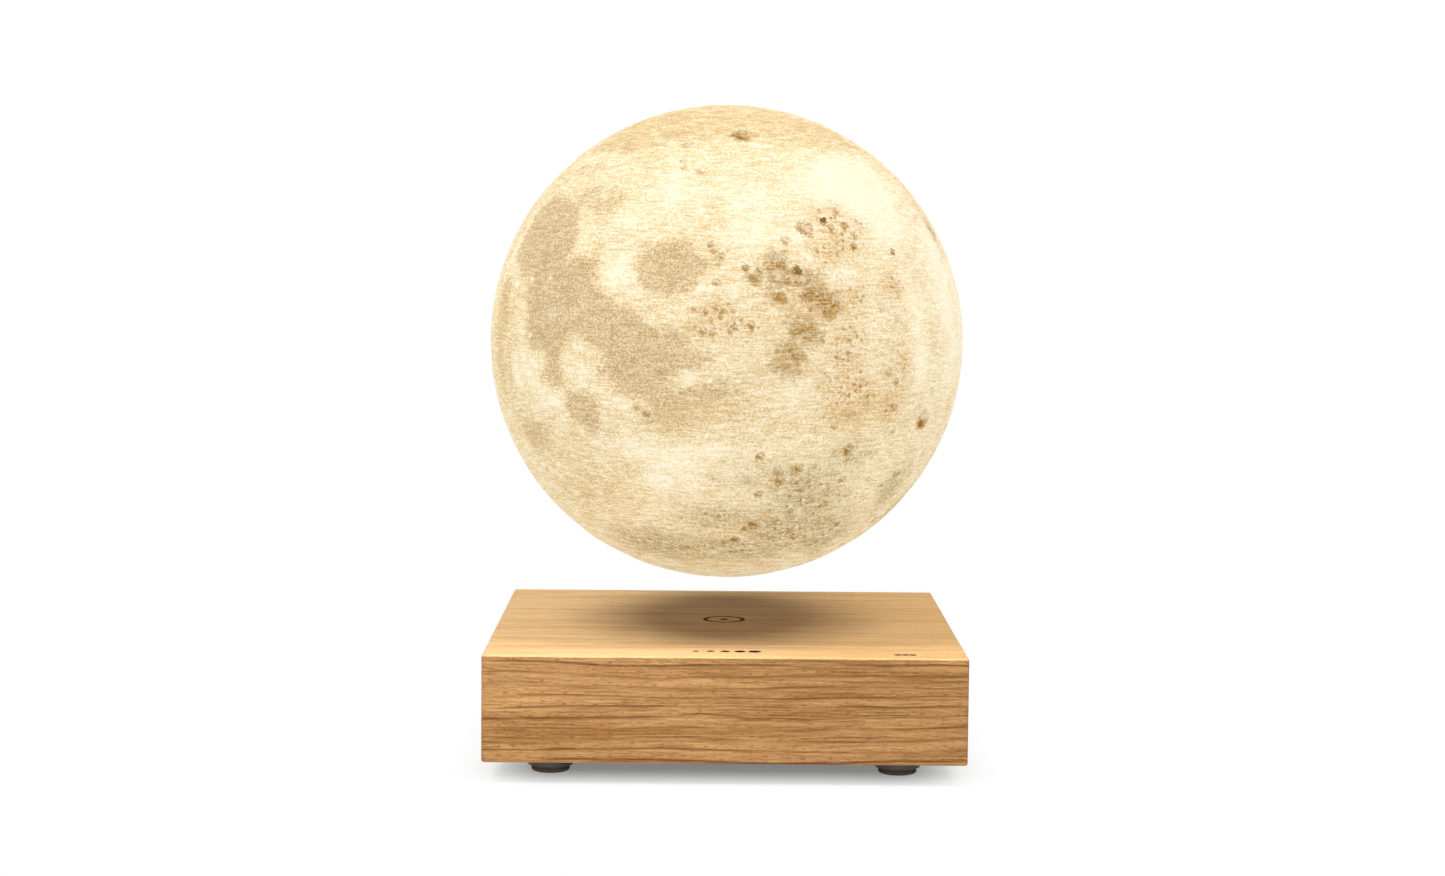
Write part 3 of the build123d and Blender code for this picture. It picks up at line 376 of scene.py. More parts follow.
def all_craters():
    """The listed craters, and small ones scattered clear of them, most where the ground is rough."""
    chance = np.random.default_rng(41)
    scattered, apart, far_side = 260, 2.4, 85      # how many everywhere, and two angles in degrees
    placed = np.array([direction(lon, lat) for lon, lat, _, _ in CRATERS])
    craters = []
    for area, count, low, high in ((GREY, 80, 0.8, 1.5), (OCHRE, 16, 0.8, 1.0), (RUST, 20, 0.8, 1.0)):
        sizes = np.array([w * h for _, _, w, h in area], float)
        for _ in range(count):
            lon, lat, width, height = area[chance.choice(len(area), p=sizes / sizes.sum())]
            x, y = chance.normal(0, 0.55, 2)
            radius = low + (high - low) * chance.random() ** 2
            craters.append((lon + x * width / max(cos(radians(lat)), 0.3), lat + y * height, radius,
                            chance.choice([-0.4, 0.35, 0.5, 0.6])))
    for _ in range(scattered):
        lat = np.degrees(np.arcsin(chance.uniform(-1, 1)))
        lon, radius = chance.uniform(-180, 180), 0.7 + 1.1 * chance.random() ** 3
        craters.append((lon, lat, radius, chance.choice([-0.25, 0.15, 0.25]) * (2.6 if abs(lon) > far_side else 1)))
    clear = cos(radians(apart))
    return CRATERS + [crater for crater in craters if (placed @ direction(*crater[:2])).max() < clear]


def globe_surface(directions, settings):
    """Height of the printed surface over the middle of the globe, and its markings, at each direction."""
    patch_shift, coast_shift = 0.02, 0.008      # how far noise bends the edges, as shares of the globe's radius
    drift = np.stack([cloud(directions, 0.16, 4, seed) for seed in (3, 5, 7)], axis=1)
    moved = directions + patch_shift * drift
    moved /= np.linalg.norm(moved, axis=1)[:, None]
    marks = {
        "plains": np.maximum(inland(directions + coast_shift * drift, COASTS),
                             np.maximum(reach(moved, PLAINS), np.minimum(reach(moved, FAINT_PLAINS), 0.25))),
        "ochre": reach(moved, OCHRE),
        "rust": reach(moved, RUST),
        "grey": reach(moved, GREY),
        "tone": glow(moved, BRIGHT) - 0.8 * glow(moved, DIM),
    }
    craters = all_craters()
    # Of the nearest crater: distance from its middle in its own radii, darkness, and which side of it, for the painted
    # shade at its lower left and the painted highlight across from it
    nearest, (darkness, side, bowls) = np.full(len(directions), 3.0), np.zeros((3, len(directions)))
    painted_shade_towards = np.array([-0.5, 0.0, -0.87])
    for lon, lat, radius, dark in craters:
        centre = direction(lon, lat)
        near = np.nonzero(directions @ centre > cos(radians(3.2 * radius)))[0]
        away = np.degrees(np.arccos(np.clip(directions[near] @ centre, -1, 1))) / radius
        edge = np.exp(-((away - 1) / 0.3) ** 2)
        floor = np.clip(1 - away ** 2, 0, 1)
        bowls[near] += min(radius, 1.6) * (SMALL_RIM * edge - SMALL_BOWL * floor)
        nearer = away < nearest[near]
        closer = near[nearer]
        darkness[closer] = dark
        span = np.radians(radius) * np.maximum(away[nearer], 0.3)
        side[closer] = (directions[closer] - centre) @ painted_shade_towards / span
        nearest[near] = np.minimum(nearest[near], away)
    for lon, lat, share in WIDE_CRATERS:
        away = np.degrees(np.arccos(np.clip(directions @ direction(lon, lat), -1, 1))) / np.degrees(share)
        bowls += WIDE_RIM * np.exp(-((away - 1) / 0.22) ** 2) - WIDE_BOWL * np.clip(1 - away ** 2, 0, 1)
    level = np.clip(marks["plains"] / 1.5, 0, 1)
    rough = ROUGH * cloud(directions, 0.1, 4, 11) * (1 - 0.7 * level)
    height = MOON_RADIUS - settings.depth + settings.relief * (bowls + rough - PLAIN_DROP * level)
    marks.update(crater=nearest, darkness=darkness, side=side)
    return np.minimum(height, MOON_RADIUS), marks


def spread_directions(count, focus):
    """Directions over a ball in six even grids, drawn together towards the front, and their faces."""
    line = np.tan(np.linspace(-pi / 4, pi / 4, count + 1))
    line[0], line[-1] = -1.0, 1.0
    u, v = (axis.ravel() for axis in np.meshgrid(line, line, indexing="ij"))
    one = np.ones_like(u)
    sides = [(one, u, v), (-one, u, v), (u, one, v), (u, -one, v), (u, v, one), (u, v, -one)]
    points = np.concatenate([np.stack(side, axis=1) for side in sides])
    points /= np.linalg.norm(points, axis=1)[:, None]
    step = np.arange(count)
    i, j = (axis.ravel() for axis in np.meshgrid(step, step, indexing="ij"))
    corner = i * (count + 1) + j
    square = np.stack([corner, corner + count + 1, corner + count + 2, corner + 1], axis=1)
    faces = np.concatenate([square + side * (count + 1) ** 2 for side in range(6)])
    points, merged = np.unique(np.round(points, 7), axis=0, return_inverse=True)
    faces = merged.ravel()[faces]
    flip = np.einsum("ij,ij->i", np.cross(points[faces[:, 1]] - points[faces[:, 0]],
                                          points[faces[:, 3]] - points[faces[:, 0]]), points[faces[:, 0]]) < 0
    faces[flip] = faces[flip][:, ::-1]
    front = np.array([0.0, -1.0, 0.0])
    ahead = points @ front
    aside = points - ahead[:, None] * front
    aside /= np.maximum(np.linalg.norm(aside, axis=1), 1e-9)[:, None]
    half = np.arctan2(np.sqrt(np.clip(1 - ahead ** 2, 0, 1)), 1 + ahead)
    angle = 2 * np.arctan2(np.sin(half), focus * np.cos(half))
    return np.cos(angle)[:, None] * front + np.sin(angle)[:, None] * aside, faces


def mark_points(mesh, settings):
    """Store the markings of the globe on the points of a mesh."""
    points = np.empty(len(mesh.vertices) * 3)
    mesh.vertices.foreach_get("co", points)
    points = points.reshape(-1, 3) - (0, 0, MOON_CENTRE)
    length = np.linalg.norm(points, axis=1)
    outside = length > MOON_RADIUS - 1.2 * MM      # deeper than any crater, and less than the wall
    _, marks = globe_surface(points / np.maximum(length, 1e-9)[:, None], settings)
    for name, values in marks.items():
        layer = mesh.attributes.new(name, "FLOAT", "POINT")
        layer.data.foreach_set("value", np.where(outside, values, 0.0).astype(np.float32))


def shell_mesh(settings):
    """Outer skin of the globe down to the seam of the cap, closed by the collar and the inner wall."""
    gap, collar_wall, collar_below_cap = 0.15 * MM, 2.2 * MM, 1.65 * MM
    directions, faces = spread_directions(settings.fineness, settings.focus)
    height, _ = globe_surface(directions, settings)
    points = directions * height[:, None] + (0, 0, MOON_CENTRE)
    mesh = bpy.data.meshes.new("globe_skin")
    mesh.from_pydata(points.tolist(), [], faces.tolist())
    work = bmesh.new()
    work.from_mesh(mesh)
    opening = settings.cap_radius + gap
    seam = MOON_CENTRE - sqrt((MOON_RADIUS - settings.depth) ** 2 - opening ** 2)
    bmesh.ops.bisect_plane(work, geom=work.verts[:] + work.edges[:] + work.faces[:], dist=1e-7,
                           plane_co=(0, 0, seam), plane_no=(0, 0, -1), clear_outer=True)
    bmesh.ops.remove_doubles(work, verts=work.verts, dist=1e-6)
    rim = [vert for vert in work.verts if vert.is_boundary]
    for vert in rim:
        stretch = opening / vert.co.xy.length
        vert.co.x *= stretch
        vert.co.y *= stretch
    loop = [edge for edge in work.edges if edge.is_boundary]
    collar_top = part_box("moon_cap")[1][2] - collar_below_cap
    collar_out = opening + collar_wall
    steps = [(opening, collar_top), (collar_out, collar_top),
             (collar_out, MOON_CENTRE - sqrt(MOON_INSIDE ** 2 - collar_out ** 2))]
    for angle in np.linspace(np.arcsin(collar_out / MOON_INSIDE), pi, 16)[1:-1]:
        steps.append((MOON_INSIDE * sin(angle), MOON_CENTRE - MOON_INSIDE * cos(angle)))
    for radius, level in steps:
        grown = bmesh.ops.extrude_edge_only(work, edges=loop)["geom"]
        loop = [item for item in grown if isinstance(item, bmesh.types.BMEdge)]
        for vert in [item for item in grown if isinstance(item, bmesh.types.BMVert)]:
            stretch = radius / vert.co.xy.length
            vert.co = (vert.co.x * stretch, vert.co.y * stretch, level)
    bmesh.ops.edgeloop_fill(work, edges=loop)
    bmesh.ops.recalc_face_normals(work, faces=work.faces)
    work.to_mesh(mesh)
    work.free()
    return mesh


def cap_mesh(settings):
    """Cap of the globe: its outer skin carries on the relief, with a floor, magnet seat and bosses inside."""
    count, rows, boss_count = 200, 46, 24       # steps round the cap, rings of its skin, steps round a boss
    wall, floor_high = 2 * MM, 6.5 * MM
    seat, seat_wall, seat_high = 20.3 * MM, 1.7 * MM, 6 * MM
    boss_spot, boss_radius, boss_high, boss_buried = 30.7 * MM, 2.8 * MM, 8.6 * MM, 0.8 * MM
    hook_out, hook_in, hook_half, hook_thick = 1.7 * MM, 1 * MM, 4 * MM, 1.5 * MM
    (_, _, low), (_, _, rim_level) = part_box("moon_cap")
    outer, floor = settings.cap_radius, low + floor_high
    inside = outer - wall
    flat = sqrt(MOON_INSIDE ** 2 - (MOON_CENTRE - floor) ** 2)

    profile = [(outer * (row / rows), 0.0) for row in range(1, rows + 1)]
    profile += [(outer, rim_level), (inside, rim_level)]
    profile += [(radius, MOON_CENTRE - sqrt(MOON_INSIDE ** 2 - radius ** 2))
                for radius in (flat + (inside - flat) * share for share in (1.0, 0.75, 0.5, 0.25))]
    profile += [(flat, floor), (seat + seat_wall, floor), (seat + seat_wall, floor + seat_high),
                (seat, floor + seat_high), (seat, floor)]
    points, faces = turned(profile, count)
    points = np.array(points)
    skin = rows * count
    flat_place = points[:skin, :2]
    bottom = MOON_RADIUS - settings.depth
    ray = np.column_stack([flat_place, -np.sqrt(bottom ** 2 - np.sum(flat_place ** 2, axis=1))]) / bottom
    height, _ = globe_surface(ray, settings)
    points[:skin, 2] = MOON_CENTRE - np.sqrt(np.maximum(height ** 2 - np.sum(flat_place ** 2, axis=1), 0))
    parts = [(points.tolist(), faces)]

    for turn in range(3):
        angle = 2 * pi * turn / 3
        x, y = boss_spot * cos(angle), boss_spot * sin(angle)
        boss, boss_faces = turned([(boss_radius, low), (boss_radius, floor + boss_high)], boss_count, x, y)
        buried = (MOON_INSIDE + boss_buried) ** 2
        boss = [(a, b, MOON_CENTRE - sqrt(buried - a * a - b * b) if number < boss_count else c)
                for number, (a, b, c) in enumerate(boss)]
        parts.append((boss, boss_faces))
        angle += pi / 3
        corners = [(r * cos(angle) - s * sin(angle), r * sin(angle) + s * cos(angle), z)
                   for z in (rim_level - hook_thick, rim_level)
                   for r, s in ((outer - hook_in, -hook_half), (outer + hook_out, -hook_half),
                                (outer + hook_out, hook_half), (outer - hook_in, hook_half))]
        parts.append((corners, [(0, 3, 2, 1), (4, 5, 6, 7), (0, 1, 5, 4), (1, 2, 6, 5), (2, 3, 7, 6), (3, 0, 4, 7)]))
    return mesh_of("globe_cap", *together(parts))


def printed_globe(settings):
    """Warm white PLA printed in fine level layers and lit from inside: even glow, soft streaks, fine grain."""
    material, tree, shader, place = start_material("Printed PLA, lit from inside", {
        "Roughness": 0.8, "IOR": 1.46, "Specular IOR Level": 0.2, "Emission Strength": settings.glow})
    marks = {name: add(tree, "ShaderNodeAttribute", output="Fac", attribute_name=name)
             for name in ("plains", "ochre", "rust", "grey", "tone", "crater", "darkness", "side")}

    # Solid noise about 0. Each row: size in millimetres, detail, roughness, how much flatter than wide
    grounds = {
        "ragged": (8.0, 7.0, 0.72, 1.0),      # the coasts of the plains
        "mottle": (2.6, 5.0, 0.7, 1.6),       # cloudy shades of the ground
        "streak": (5.0, 4.0, 0.62, 9.0),      # print layers, drawn 0.6 mm high, far coarser than the real ones
        "grain": (0.65, 2.0, 0.6, 1.3),       # grain of the print, drawn coarser than the real one
        "speckle": (1.1, 3.0, 0.7, 1.4),      # rough spots of the ochre ground
    }
    noise = {}
    for number, (name, (size, detail, rough, flat)) in enumerate(grounds.items()):
        scale = (1 / (size * MM), 1 / (size * MM), flat / (size * MM))
        near = add(tree, MAPPING, place, (7.0 * number, 0, 0), None, scale)
        value = add(tree, NOISE, near, 1.0, detail, rough)
        noise[name] = add(tree, MATH, value, 0.5, **LESS)

    def summed(base, **weights):
        """A base value, and noises added by their weights."""
        total = base
        for name, weight in weights.items():
            total = add(tree, MATH, noise[name], weight, total, **TIMES_PLUS)
        return total

    # Share of the ground inside the ragged edge of each kind of patch
    inside = {}
    for name, low, high, spread in (("grey", -4.5, 3.5, 9.0), ("rust", -3.0, 2.0, 9.0),
                                    ("ochre", -1.7, 1.1, 9.0), ("plains", -0.4, 0.5, 7.5)):
        edge = summed(marks[name], ragged=spread * 0.8, mottle=spread, speckle=spread * 0.9, grain=spread * 0.4)
        inside[name] = add(tree, RANGE, edge, low, high, **SMOOTH)

    # Bright, streaky ground, with the painted shade over the top and the painted highlight at the right edge, calmer
    # where it is brightest
    level = summed(add(tree, MATH, marks["tone"], 0.22, 0.5, **TIMES_PLUS),
                   mottle=0.7, ragged=0.5, streak=settings.streak, grain=settings.grain)
    least = add(tree, MATH, marks["tone"], 0.34, 0.16, **TIMES_PLUS)
    level = add(tree, MATH, level, least, 0.15, operation="SMOOTH_MAX")
    ramp = add(tree, "ShaderNodeValToRGB", level)
    shades = [(0.05, settings.dull), (0.3, settings.warm), (0.48, settings.ground),
              (0.64, settings.light), (0.85, settings.bright)]
    stops = ramp.node.color_ramp.elements
    while len(stops) < len(shades):
        stops.new(0.5)
    for stop, (spot, tint) in zip(stops, shades):
        stop.position, stop.color = spot, tint

    dark_dust = add(tree, RANGE, summed(0.5, streak=-1.2, grain=-2.0, mottle=-0.9, ragged=-0.5), 0.0, 1.0, **SMOOTH)
    dust = add(tree, MIX, dark_dust, settings.dust, settings.dust_dark, **COLOURS)
    share = add(tree, MATH, inside["grey"], 0.85, **TIMES)
    colour = add(tree, MIX, share, ramp, dust, **COLOURS)
    spots = add(tree, RANGE, summed(0.0, speckle=-1.0, mottle=-0.8, streak=-0.9, grain=-1.1), -0.08, 0.26, **SMOOTH)
    for name, part, base, tint in (("rust", 0.5, 0.2, settings.rust), ("ochre", 0.6, 0.5, settings.ochre)):
        spotted = add(tree, MATH, spots, part, base, **TIMES_PLUS)
        share = add(tree, MATH, inside[name], spotted, **TIMES)
        colour = add(tree, MIX, share, colour, tint, **COLOURS)
    dark_plain = add(tree, RANGE, summed(0.5, grain=-2.2, streak=-1.2, mottle=-0.5, ragged=-0.5), 0.15, 0.85, **SMOOTH)
    plain = add(tree, MIX, dark_plain, settings.plain, settings.plain_dark, **COLOURS)
    share = add(tree, MATH, inside["plains"], 0.93, **TIMES)
    colour = add(tree, MIX, share, colour, plain, **COLOURS)

    # Pocks of the rough ground, drawn 2 mm apart: dark spots, and a few pale ones
    cells = add(tree, "ShaderNodeTexVoronoi", place, named={"Scale": 1 / (1.9 * MM)}).node.outputs
    chance = add(tree, "ShaderNodeSeparateColor", cells["Color"])
    off_middle = summed(cells["Distance"], speckle=0.9, grain=0.3)
    spot = add(tree, RANGE, off_middle, 0.46, 0.16, **SMOOTH)
    rough = add(tree, MATH, inside["rust"], inside["grey"], **HIGHER)
    rough = add(tree, MATH, rough, add(tree, MATH, inside["ochre"], 0.5, **TIMES), **HIGHER)
    rough = add(tree, MATH, rough, 0.72, 0.06, **TIMES_PLUS)
    share = add(tree, MATH, add(tree, MATH, spot, rough, **TIMES),
                add(tree, RANGE, chance, 0.45, 0.65, 0.0, 0.95, **SMOOTH), **TIMES)
    colour = add(tree, MIX, share, colour, settings.pit, **COLOURS)
    share = add(tree, MATH, add(tree, MATH, spot, rough, **TIMES),
                add(tree, RANGE, chance, 0.22, 0.1, 0.0, 0.7, **SMOOTH), **TIMES)
    colour = add(tree, MIX, share, colour, settings.bright, **COLOURS)

    # Craters: a ragged dark bowl with painted shade at its lower left, a broken rim, and a painted highlight on its
    # far side
    away = summed(marks["crater"], ragged=0.9, speckle=3.2, grain=1.6)
    dark = add(tree, MATH, marks["darkness"], 0.0, **HIGHER)
    deep = add(tree, RANGE, dark, 0.82, 1.0, **SMOOTH)
    painted_shade_side = add(tree, RANGE, marks["side"], -0.5, 0.6, 0.15, 0.85, **SMOOTH)
    bowl = add(tree, MATH, add(tree, RANGE, away, 1.35, 0.5, **SMOOTH),
               add(tree, MATH, painted_shade_side, deep, **HIGHER), **TIMES)
    off_rim = add(tree, MATH, add(tree, MATH, away, 1.05, **LESS), **ABSOLUTE)
    broken = add(tree, RANGE, summed(0.0, speckle=1.0, mottle=1.0), -0.16, 0.14, 0.0, 0.8, **SMOOTH)
    rim = add(tree, MATH, add(tree, RANGE, off_rim, 0.5, 0.0, **SMOOTH), broken, **TIMES)
    off_halo = add(tree, MATH, add(tree, MATH, away, 1.5, **LESS), **ABSOLUTE)
    painted_highlight_halo = add(tree, MATH, add(tree, RANGE, off_halo, 0.5, 0.0, 0.0, 0.7, **SMOOTH),
               add(tree, RANGE, marks["side"], 0.5, -0.7, **SMOOTH), **TIMES)
    painted_highlight_halo = add(tree, MATH, painted_highlight_halo, dark, **TIMES)
    # Pale crater spots, and the painted highlight on the far side of the dark craters
    pale = add(tree, MATH, marks["darkness"], -1.0, **TIMES, use_clamp=True)
    pale = add(tree, MATH, pale, add(tree, RANGE, away, 1.3, 0.5, **SMOOTH), painted_highlight_halo, **TIMES_PLUS)
    colour = add(tree, MIX, pale, colour, settings.bright, **COLOURS)
    share = add(tree, MATH, add(tree, MATH, rim, bowl, **HIGHER), dark, **TIMES)
    share = add(tree, MATH, share, 1.35, **TIMES, use_clamp=True)
    pit = add(tree, MIX, deep, settings.pit, settings.pit_deep, **COLOURS)
    colour = add(tree, MIX, share, colour, pit, **COLOURS)

    tree.links.new(colour, shader.inputs["Emission Color"])
    dulled = add(tree, MIX, 1.0, colour, (1 - settings.glow,) * 3 + (1.0,), blend_type="MULTIPLY", **COLOURS)
    return finish_material(material, shader, dulled, summed(0.0, streak=0.6, mottle=0.9, grain=0.25), 0.35 * MM)


# ---- oak ----

def oiled_oak(settings):
    """White oak, planed and oiled: wavy growth rings along X, open pores, a top that is paler partly by painted light,
    painted shade towards the right, burnt marks.
    """
    material, tree, shader, place = start_material("White oak, oiled", {
        "Roughness": 0.8, "IOR": 1.5, "Specular IOR Level": 0.1})
    x, _, z = add(tree, "ShaderNodeSeparateXYZ", place).node.outputs

    # Noise about 0, long along the grain. Each row: length and width in millimetres, detail, roughness
    grains = {
        "slow": (90.0, 16.0, 2.0, 0.6),       # slow bends of the rings
        "bend": (32.0, 5.0, 2.0, 0.6),        # short bends of the rings
        "fading": (52.0, 3.0, 3.0, 0.6),      # where a dark line thins out
        "between": (26.0, 1.8, 3.0, 0.6),     # where a fine line shows
        "streak": (70.0, 5.0, 4.0, 0.6),      # streaks of the top
        "fibre": (9.0, 0.42, 3.0, 0.7),       # bundles of fibres
        "pore": (2.2, 0.36, 1.0, 0.6),        # open pores
    }
    noise = {}
    for number, (name, (along, across, detail, rough)) in enumerate(grains.items()):
        scale = (1 / (along * MM), 1 / (across * MM), 1 / (across * MM))
        near = add(tree, MAPPING, place, (3.0 * number, 0, 0), None, scale)
        value = add(tree, NOISE, near, 1.0, detail, rough)
        noise[name] = add(tree, MATH, value, 0.5, **LESS)

    # Rings round a pith that lies low in front of the block
    from_pith = add(tree, MAPPING, place, (0.0, 0.26, 0.33), None, (0.0, 1.0, 1.0))
    distance = add(tree, VECTOR, from_pith, operation="LENGTH")
    distance = add(tree, MATH, noise["slow"], 6.5 * MM, distance, **TIMES_PLUS)
    distance = add(tree, MATH, noise["bend"], 1.2 * MM, distance, **TIMES_PLUS)
    phase = add(tree, MATH, distance, settings.ring_pitch, **PER)
    part = add(tree, MATH, phase, operation="FRACT")
    chance = add(tree, "ShaderNodeTexWhiteNoise", add(tree, MATH, phase, operation="FLOOR"),
                 output="Value", noise_dimensions="1D")
    line = add(tree, MATH, add(tree, RANGE, part, 0.62, 0.9, **SMOOTH),
               add(tree, RANGE, part, 0.9, 1.0, 1.0, 0.0, **SMOOTH), **TIMES)
    line = add(tree, MATH, line, add(tree, RANGE, noise["fading"], -0.2, 0.06, **SMOOTH), **TIMES)
    line = add(tree, MATH, line, add(tree, RANGE, chance, -0.7, 0.7, **SMOOTH), **TIMES)
    # Finer lines between the rings, about 1 mm apart
    thin = add(tree, MATH, add(tree, MATH, phase, 2.7, 0.3, **TIMES_PLUS), operation="FRACT")
    thin = add(tree, MATH, add(tree, RANGE, thin, 0.5, 0.95, **SMOOTH),
               add(tree, RANGE, noise["between"], -0.06, 0.2, 0.0, 0.9, **SMOOTH), **TIMES)
    line = add(tree, MATH, line, thin, **HIGHER)
    slow = add(tree, COMBINE, add(tree, MATH, x, 10.0, **TIMES), add(tree, MATH, distance, 230.0, **TIMES))
    band = add(tree, RANGE, add(tree, NOISE, slow, 1.0, 4.0, 0.6), 0.33, 0.67, **SMOOTH)
    pores = add(tree, MATH, add(tree, RANGE, noise["pore"], 0.05, 0.14, **SMOOTH),
                add(tree, RANGE, part, 0.1, 0.7, 1.0, 0.5, **SMOOTH), **TIMES)

    # The top's own shades end just over the floors of the engraved marks, and the end grain is darker
    on_top = add(tree, RANGE, z, OAK_TOP - 0.45 * MM, OAK_TOP - 0.3 * MM, **SMOOTH)
    on_end = add(tree, RANGE, add(tree, MATH, x, **ABSOLUTE), oak_high[0] - 0.4 * MM,
                 oak_high[0] - 0.2 * MM, 0.0, 0.25, **SMOOTH)
    # Painted shade: the sides darken towards the right, and the top is painted paler at the left and darker at the
    # right
    painted_shade_to_right = add(tree, RANGE, x, -0.06, 0.075, **SMOOTH)

    side = add(tree, MIX, band, settings.oak_light, settings.oak_mid, **COLOURS)
    side = add(tree, MIX, add(tree, MATH, line, 0.9, **TIMES), side, settings.oak_line, **COLOURS)
    side = add(tree, MIX, add(tree, MATH, painted_shade_to_right, 0.2, **TIMES), side, settings.oak_line, **COLOURS)
    top = add(tree, MIX, painted_shade_to_right, settings.top_left_painted_light, settings.top_right_painted_shade, **COLOURS)
    top = add(tree, MIX, add(tree, RANGE, noise["streak"], -0.1, 0.14, 0.0, 0.6, **SMOOTH), top,
              settings.top_streak, **COLOURS)
    top = add(tree, MIX, add(tree, MATH, line, 0.2, **TIMES), top, settings.oak_mid, **COLOURS)
    # The top is paler than the sides, partly by its grain and partly by painted light from above
    colour = add(tree, MIX, on_top, side, top, **COLOURS)
    # Each row: share, how much less of it shows on the top, and its colour
    for share, strength, less, tint in (
            (add(tree, RANGE, noise["fibre"], 0.02, -0.16, **SMOOTH), 0.34, -0.14, settings.oak_line),
            (add(tree, RANGE, noise["fibre"], 0.0, 0.2, **SMOOTH), 0.25, 0.0, settings.oak_pale),
            (pores, 0.5, -0.3, settings.oak_pore)):
        strength = add(tree, MATH, on_top, less, strength, **TIMES_PLUS)
        share = add(tree, MATH, share, strength, **TIMES)
        colour = add(tree, MIX, share, colour, tint, **COLOURS)
    colour = add(tree, MIX, on_end, colour, settings.oak_line, **COLOURS)
    colour = add(tree, MIX, burnt_marks(tree, place), colour, settings.burnt, **COLOURS)
    sunk = add(tree, MATH, pores, -0.8, add(tree, MATH, noise["fibre"], 0.35, **TIMES), **TIMES_PLUS)
    return finish_material(material, shader, colour, sunk, 0.1 * MM)


# Engraved marks on the top, in millimetres: x, y, radius of the line's middle, half width of the line.
# A dot has no radius, and half its width is the whole of it.
MARKS = [(0.0, 4.5, 6.1, 0.4), (0.0, 4.5, 0.0, 1.1)]
MARKS += [(53.6 + 2.1 * place, -65.0, 0.0, 0.85) for place in (-1, 0, 1)]
MARKS += [(4.4 * place, -61.0, 0.0, 1.1 + 0.25 * place) for place in (-2, -1, 0, 1, 2)]


def burnt_marks(tree, place):
    """Share of burnt wood: the walls and floor of the engraved marks, and a scorched edge round them."""
    x, y, z = add(tree, "ShaderNodeSeparateXYZ", place).node.outputs
    burnt = add(tree, MATH, add(tree, RANGE, z, OAK_TOP - 0.004 * MM, OAK_TOP - 0.03 * MM, **SMOOTH),
                add(tree, RANGE, z, OAK_TOP - 0.4 * MM, OAK_TOP - 0.33 * MM, **SMOOTH), **TIMES)
    for axis, limit in ((x, oak_high[0]), (y, oak_high[1])):
        within = add(tree, RANGE, add(tree, MATH, axis, **ABSOLUTE), limit - 0.9 * MM, limit - 0.7 * MM,
                     1.0, 0.0, **SMOOTH)
        burnt = add(tree, MATH, burnt, within, **TIMES)
    above = add(tree, RANGE, z, OAK_TOP - 0.35 * MM, OAK_TOP - 0.3 * MM, **SMOOTH)
    for spot_x, spot_y, radius, half in MARKS:
        near = add(tree, MAPPING, place, (-spot_x * MM, -spot_y * MM, 0.0), None, (1.0, 1.0, 0.0))
        length = add(tree, VECTOR, near, operation="LENGTH")
        off_line = add(tree, MATH, add(tree, MATH, length, radius * MM, **LESS), **ABSOLUTE)
        scorch = add(tree, RANGE, off_line, (half + 0.5) * MM, (half + 0.2) * MM, **SMOOTH)
        scorch = add(tree, MATH, scorch, above, **TIMES)
        burnt = add(tree, MATH, burnt, scorch, **HIGHER)
    return burnt


# ---- plainer surfaces ----

def flecked(name, colour, second, size, depth, roughness, ior):
    """Material whose colour wanders between two shades, with the size of its blotches and bumps in millimetres."""
    material, tree, shader, place = start_material(name, {"Roughness": roughness, "IOR": ior})
    blotch = add(tree, NOISE, place, 1 / (size * MM), 4.0, 0.6)
    tint = add(tree, MIX, add(tree, RANGE, blotch, 0.35, 0.65), colour, second, **COLOURS)
    return finish_material(material, shader, tint, blotch, depth * MM)


def marked_metal(name, colour, second, roughness, along=(0.4, 0.4, 6.0)):
    """Bare metal with fine drawn or turned marks, some a millimetre each way, that spread its highlight."""
    material, tree, shader, place = start_material(name, {"Metallic": 1.0})
    marks = add(tree, NOISE, add(tree, MAPPING, place, None, None, tuple(some / MM for some in along)), 1.0, 3.0)
    tint = add(tree, MIX, marks, colour, second, **COLOURS)
    rough = add(tree, RANGE, marks, 0.3, 0.7, roughness * 0.8, roughness * 1.25)
    tree.links.new(rough, shader.inputs["Roughness"])
    return finish_material(material, shader, tint)


def copper_wire(name):
    """Enamelled copper wire, drawn and varnished: a warm metal with blotches of darker enamel 4 mm across."""
    material, tree, shader, place = start_material(name, {
        "Metallic": 1.0, "Roughness": 0.34, "Coat Weight": 0.4, "Coat Roughness": 0.2})
    patch = add(tree, NOISE, place, 0.26 / MM, 3.0)
    tint = add(tree, MIX, patch, linear("C46A3A"), linear("A84E26"), **COLOURS)
    return finish_material(material, shader, tint)


def circuit_board(name, mask, track):
    """Green solder mask over glass cloth: glossy, with paler tracks in a square maze 4 mm apart."""
    material, tree, shader, place = start_material(name, {"Roughness": 0.32, "IOR": 1.5, "Coat Weight": 0.3})
    cells = add(tree, "ShaderNodeTexVoronoi", place, named={"Scale": 0.24 / MM, "Randomness": 0.7},
                distance="CHEBYCHEV")
    edge = add(tree, MATH, cells, 0.52, operation="GREATER_THAN")
    tint = add(tree, MIX, edge, mask, track, **COLOURS)
    return finish_material(material, shader, tint)


def lit_plastic(name, colour, strength):
    """Light source: a plain warm glow with a faint mottle of phosphor 1 mm across."""
    material, tree, shader, place = start_material(name, {"Roughness": 0.5, "Emission Strength": strength})
    patch = add(tree, NOISE, place, 0.9 / MM, 2.0)
    tint = add(tree, MIX, patch, colour, linear("FFF3D0"), **COLOURS)
    tree.links.new(tint, shader.inputs["Emission Color"])
    return finish_material(material, shader, tint)


def feet_materials(settings):
    """The plastic of the collars and the rubber of the pads."""
    # Moulded ABS, dark brown: a dull sheen with paler, worn blotches
    collar = flecked("ABS, moulded, dark brown", settings.collar, settings.collar_pale, 1.1, 0.05, 0.55, 1.5)
    # Moulded rubber: quite matt, with dust in its surface
    pad = flecked("Rubber, moulded, matt", settings.pad, settings.pad_pale, 0.8, 0.06, 0.85, 1.45)
    return collar, pad


